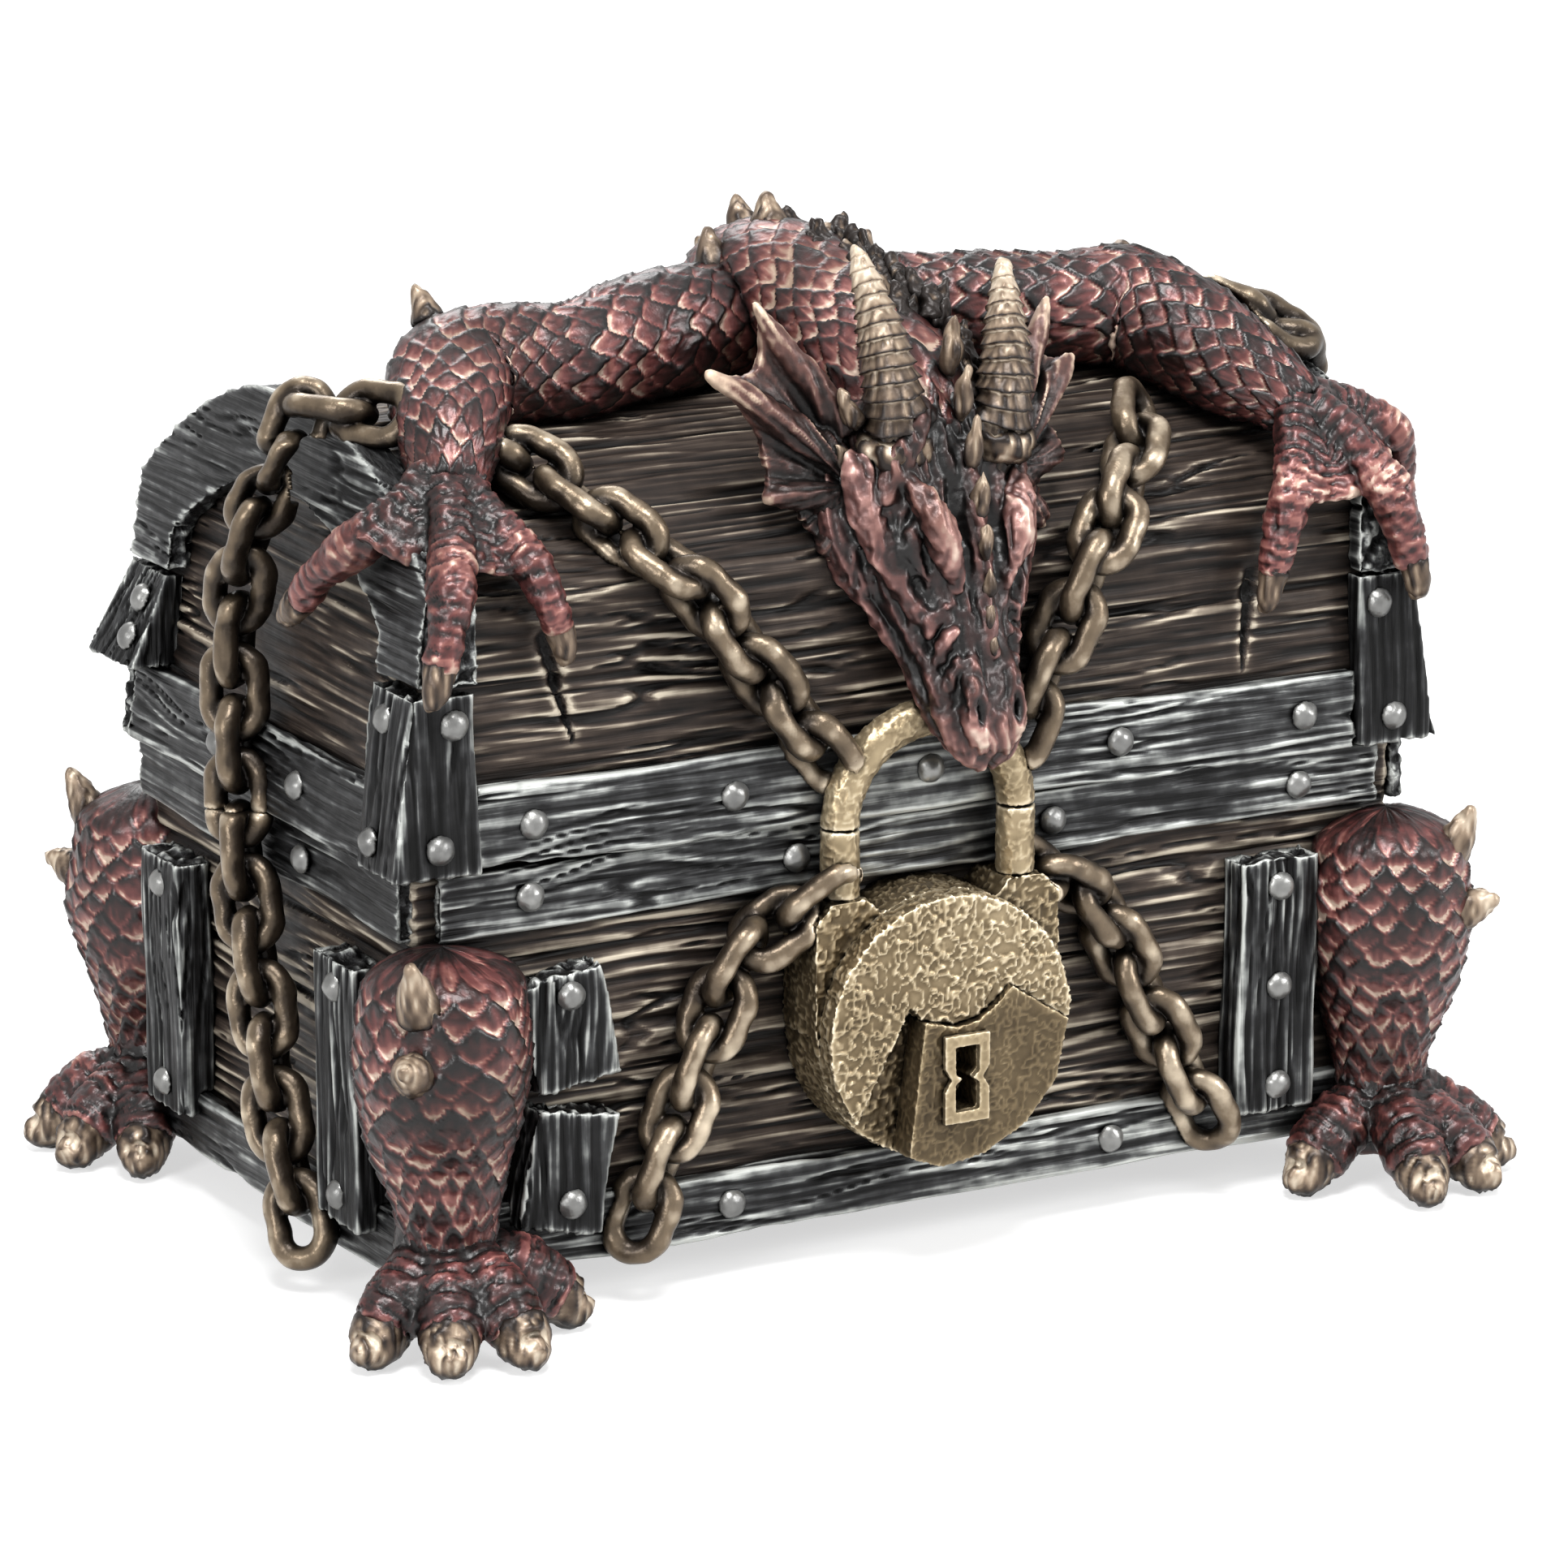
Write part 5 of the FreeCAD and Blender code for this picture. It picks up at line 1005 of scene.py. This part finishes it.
def ear_fan(root, tips, bend):
    """Points and faces of a closed fan from a root line to the tips of its ribs."""
    across, along = 73, 50
    u, v = np.meshgrid(np.linspace(0, 1, across), np.linspace(0, 1, along))
    span = len(tips) - 1
    rib = np.clip((u * span).astype(int), 0, span - 1)
    part = u * span - rib
    pull = 1 - 0.3 * np.sin(np.pi * part) ** 0.8
    start = root[0] + (root[1] - root[0]) * u[..., None]
    end = tips[rib] * (1 - part[..., None]) + tips[rib + 1] * part[..., None]
    middle = rib_line(start, end, bend, (v * pull)[..., None])
    middle[..., 1] += 1.3 * np.sin(np.pi * part) * v
    front, back = middle.copy(), middle.copy()
    front[..., 1] -= 0.5
    back[..., 1] += 0.5
    points = np.vstack((front.reshape(-1, 3), back.reshape(-1, 3)))
    cell = np.arange(across * along).reshape(along, across)
    size = across * along
    quads = np.stack((cell[:-1, :-1], cell[:-1, 1:], cell[1:, 1:], cell[1:, :-1]), -1).reshape(-1, 4)
    faces = quads.tolist() + (quads[:, ::-1] + size).tolist()
    rim = np.concatenate((cell[0, :], cell[1:, -1], cell[-1, -2::-1], cell[-2:0:-1, 0]))
    after = np.roll(rim, -1)
    faces += np.stack((rim, rim + size, after + size, after), 1).tolist()
    return points, faces


def make_ear(name, root, tips, bend, seed):
    """A fan with its ribs as one striped piece, paler towards the tips."""
    root, tips = np.array(root, float), np.array(tips, float)
    points, faces = ear_fan(root, tips, bend)
    ribs = []
    for number, tip in enumerate(tips):
        start = root[0] + (root[1] - root[0]) * number / (len(tips) - 1)
        ribs.append([(*(rib_line(start, tip, bend, reach) - np.array((0, 0.25, 0))), thick, thick)
                     for reach, thick in RIB_ROWS])
    more, more_faces, _, _ = gathered(ribs, 0.4, 20, (0, -1, 0))
    faces = faces + [[corner + len(points) for corner in face] for face in more_faces]
    skin = evenly(skin_from(np.vstack((points, more)), faces), EAR_VOXEL)
    middle = root.mean(0)

    def field(spots, normals):
        turn = np.arctan2(spots[:, 2] - middle[2], np.abs(spots[:, 0] - middle[0])) * 14
        far = np.linalg.norm(spots - middle, axis=1)
        stripes = cloud(np.stack((turn, far * 0.16, 0 * far), 1), 1, seed) + 0.6 * cloud(
            np.stack((turn * 2.3, far * 0.3, 0 * far), 1), 1, seed + 1)
        return 0.45 * (stripes - 0.8) + 0.16 * (cloud(spots, 0.6, seed + 2) - 0.5)
    push(skin, field)
    longest = np.linalg.norm(tips - middle, axis=1).max()
    tip_share = np.linalg.norm(read_skin(skin)[0] - middle, axis=1) / longest
    place_piece(name, skin, "lid", "dragon", ["dragon_ears"], rounds=14, proud=0.3, paint=EAR_PAINT,
                brush=0.55 * (tip_share - 0.62))


# the two ends of the root, the tips of the ribs, and the bend
EARS = {
    "left": (((-6.0, -26.5, 77.5), (-7.4, -27.5, 68.5)),
             ((-14.0, -23.4, 89.2), (-19.2, -25, 83.6), (-15, -27.4, 72.2), (-9.2, -28.5, 66.5)),
             (-1.5, 0, 1.5)),
    "right": (((9.8, -26.5, 77), (11, -27.5, 69)),
              ((16.2, -22.6, 86.8), (18.2, -23.5, 81.5), (16, -26.2, 73.5), (12.2, -28.5, 67)),
              (1.5, 0, 1.5)),
}
for side, fan in EARS.items():
    make_ear(f"dragon_{side}_ear", *fan, 620)

# %% [markdown]
# Hands and feet are fingers or toes grown together at the root. Their tubes are joined into one even skin and
# smoothed. The nearest finger then tells each point how far along it lies, and cross wrinkles follow that.

# %% Wrinkled skin
HAND_VOXEL = 0.26


def along_paths(points, paths):
    """For each point, the way along the nearest of several paths, in millimetres and as a share."""
    best = np.full(len(points), np.inf)
    way, share = np.zeros(len(points)), np.zeros(len(points))
    for stations in paths:
        path, run = spline(stations, 0.4)
        for chunk in range(0, len(points), 20000):
            part = slice(chunk, chunk + 20000)
            gap = np.linalg.norm(points[part, None] - path[None, :, :3], axis=2) / path[None, :, 3]
            near = gap.argmin(1)
            gap = gap[np.arange(len(near)), near]
            closer = gap < best[part]
            best[part] = np.where(closer, gap, best[part])
            way[part] = np.where(closer, run[near], way[part])
            share[part] = np.where(closer, run[near] / run[-1], share[part])
    return way, share


def grown(name, paths, extra, body, nodes, seed, wrinkle, fold, shade):
    """Fingers or toes joined into one wrinkled skin, with extra tubes that lead no wrinkles of their own."""
    points, faces, _, _ = gathered(list(paths) + list(extra), 0.5, 28, (0.2, -0.3, 1))
    skin = evenly(skin_from(points, faces), HAND_VOXEL)
    soften(skin, 7)
    spots, _ = read_skin(skin)
    way, share = along_paths(spots, paths)

    def field(spots, normals):
        bent = way + 1.6 * (cloud(spots, 2.0, seed) - 0.5)
        folds = np.abs(np.sin(np.pi * bent / fold)) ** 0.6
        upper = np.clip(normals[:, 2] * 0.6 - normals[:, 1] * 0.6 + 0.6, 0.2, 1)
        deep = wrinkle * (0.45 + 1.1 * cloud(spots, 3, seed + 3))
        return (deep * upper * (folds - 0.6) + 0.34 * (cloud(spots, 0.75, seed + 1) - 0.5)
                + 0.7 * (cloud(spots, 3, seed + 4) - 0.5))
    push(skin, field)
    place_piece(name, skin, body, "dragon", nodes, rounds=16, proud=0.28,
                brush=0.22 * (share - 0.5) + 0.22 * np.exp(-((share - 0.52) / 0.1) ** 2) + shade)


print("hands and feet are meshed in squares of", HAND_VOXEL, "mm")

# %% [markdown]
# Each hand has three fingers that hook over the edge of the lid, with webs between them and a claw at each
# tip. The webs are flat tubes between two neighbours, so that the same joining and smoothing takes them in.

# %% Hands
WEB_REACH, CLAW_ROOT = 1.05, 1.4
# each finger is a row of places from the palm to the tip, with the half width and half height there
LEFT_FINGERS = (
    ((-45, -21.4, 76.6, 2.34, 2.16), (-48.6, -22.6, 74.8, 1.68, 1.6), (-52.4, -21.4, 71.6, 2.07, 2.07),
     (-54.2, -17, 68, 1.68, 1.68), (-55, -13, 64.4, 1.55, 1.55)),
    ((-45, -22.6, 76.2, 2.43, 2.25), (-46.2, -26.6, 73.6, 1.93, 1.85), (-48.4, -31.2, 69, 2.34, 2.25),
     (-49.9, -33.2, 65, 1.76, 1.76), (-50.9, -33.6, 61.8, 1.55, 1.55)),
    ((-44, -22, 76.3, 2.34, 2.16), (-42, -26, 73.6, 1.6, 1.6), (-40.2, -30, 70, 1.98, 1.98),
     (-39, -31.6, 66.6, 1.6, 1.6), (-38.2, -31.8, 63.8, 1.38, 1.38)),
)
RIGHT_FINGERS = (
    ((42, -26, 75.6, 2.34, 2.16), (39.4, -29.8, 72, 1.68, 1.68), (37.4, -32, 67, 1.98, 1.98),
     (36.4, -32.2, 63, 1.6, 1.6), (35.8, -32.1, 60.2, 1.38, 1.38)),
    ((42.6, -26.4, 75.4, 2.43, 2.25), (45.8, -30, 72, 1.76, 1.76), (48.4, -32.6, 67.4, 2.25, 2.25),
     (49.9, -33.6, 63, 1.68, 1.68), (50.6, -33.7, 60, 1.46, 1.46)),
    ((43, -25.2, 75.6, 2.34, 2.16), (48.8, -25, 74.2, 1.68, 1.68), (53.2, -25, 71.2, 1.98, 1.98),
     (55, -24.3, 67.4, 1.51, 1.51), (55.4, -23.6, 64.4, 1.29, 1.29)),
)


def webs(paths):
    """Flat stations between neighbouring fingers, from their roots to a little past their knuckles."""
    rows = []
    for one, two in zip(paths, paths[1:]):
        first, second = np.array(one[1]), np.array(two[1])
        start = (np.array(one[0]) + np.array(two[0])) / 2
        near = (first + second) / 2
        far = (np.array(one[2]) + np.array(two[2])) / 2
        end = near + (far - near) * WEB_REACH
        gap = np.linalg.norm(first[:3] - second[:3]) / 2
        wide = np.linalg.norm(np.array(one[2])[:3] - np.array(two[2])[:3]) / 2 * WEB_REACH
        rows.append(((*start[:3], gap, 1.2), (*near[:3], gap, 0.95), (*end[:3], max(gap, wide), 0.6)))
    return rows


def claw_tubes(paths, length, droop):
    """A claw for the tip of each finger: on along its last stretch, bending with the droop."""
    rows = []
    for stations in paths:
        last, tip = np.array(stations[-2]), np.array(stations[-1])
        way = unit(tip[:3] - last[:3])
        radius = tip[3]
        root = tip[:3] - way * CLAW_ROOT
        middle = root + way * (CLAW_ROOT + length * 0.5)
        point = root + unit(way + np.array(droop)) * (CLAW_ROOT + length)
        rows.append(((*root, radius, radius), (*middle, radius * 0.75, radius * 0.75),
                     (*point, radius * 0.14, radius * 0.14)))
    return rows


for side, fingers in (("left", LEFT_FINGERS), ("right", RIGHT_FINGERS)):
    grown(f"dragon_{side}_hand", fingers, webs(fingers), "lid", [f"dragon_hand_{side}"], 700, wrinkle=0.3,
          fold=1.35, shade=-0.12)
finger_claws = claw_tubes(LEFT_FINGERS + RIGHT_FINGERS, 3.4, (0, 0.25, -0.1))
bony("dragon_finger_claws", finger_claws, "lid", ["dragon_claws"], seed=710, shade=0.06, fade=0.16)

# %% [markdown]
# Four thick legs stand at the corners, each a scaly haunch like a drumstick, with two bony spikes and a foot
# of four wrinkled toes. One set of rows is drawn, mirrored for the right side and turned for the rear.

# %% Legs
LEG_OUT = 49.8
# height and radius down the leg, then the bearing and reach of each toe
LEG = ((36.6, 5.0), (34, 6.9), (30, 7.9), (25.5, 8.2), (20.5, 7.4), (15.6, 5.8), (11.5, 4.7), (7.6, 4.6),
       (5, 4.2))
TOES = ((62, 9.0), (24, 9.6), (-11, 10.0), (-72, 9.2))
# share of the reach, start, height and radius along a toe
TOE_ROWS = ((0, 0.6, 7.6, 3.1), (0.34, 1.2, 6.8, 3.1), (0.68, 1.2, 5.2, 3.2), (1, 1.2, 3.1, 2.75))
# height and radius down the ankle
ANKLE = ((12, 4.2), (8, 4.6), (4.5, 4.8), (2.4, 4.4))
# height, way out, lean out, rise, length and radius of the two spikes
SPIKES = ((31.4, 5.6, 0.46, 0.9, 6.4, 2.2), (26.6, 6.8, 0.94, 0.36, 4.6, 2.3))
# name, side, end, how far forward or back it stands, and the turn of its toes
LEGS = (("front_left", -1, -1, 31.1, 0), ("front_right", 1, -1, 31.1, 0), ("rear_left", -1, 1, 33.5, 42),
        ("rear_right", 1, 1, 33.5, 42))


def toe_path(centre, side, angle, reach):
    bearing = math.radians(angle)
    out = np.array((math.sin(bearing) * side, -math.cos(bearing), 0))
    return [(*(centre + out * (part * reach + start) + np.array((0, 0, high))), thick, thick)
            for part, start, high, thick in TOE_ROWS]


toe_claws, leg_spikes = [], []
for name, side, end, stand, turn in LEGS:
    centre = np.array((side * LEG_OUT, end * stand, 0))
    scaly(f"haunch_{name}", [(*(centre + np.array((0, 0, high))), wide, wide) for high, wide in LEG], "base",
          [f"leg_{name}"], size=2.4, up=(0, -1, 0), cap=3.6, seed=800, shade=0.06)
    toes = [toe_path(centre, side, angle + turn, reach) for angle, reach in TOES]
    ankle = [(*(centre + np.array((0, 0, high))), wide, wide) for high, wide in ANKLE]
    grown(f"paw_{name}", toes, [ankle], "base", [f"foot_{name}"], 820, wrinkle=0.36, fold=1.5, shade=-0.26)
    toe_claws += claw_tubes(toes, 3.0, (0, 0, 0.3))
    outward = unit(np.array((side, end, 0.0)))
    for high, far, out, rise, long, thick in SPIKES:
        root = centre + np.array((0, 0, high)) + outward * far
        leg_spikes.append((*root, *(root + unit(outward * out + np.array((0, 0, rise))) * long), thick))
bony("paw_claws", toe_claws, "base", ["toe_claws"], seed=830, cracks=0.3, shade=0.12, fade=0.2)
bony("haunch_spikes", spikes(leg_spikes), "base", ["leg_spikes"], seed=840, shade=0.14)
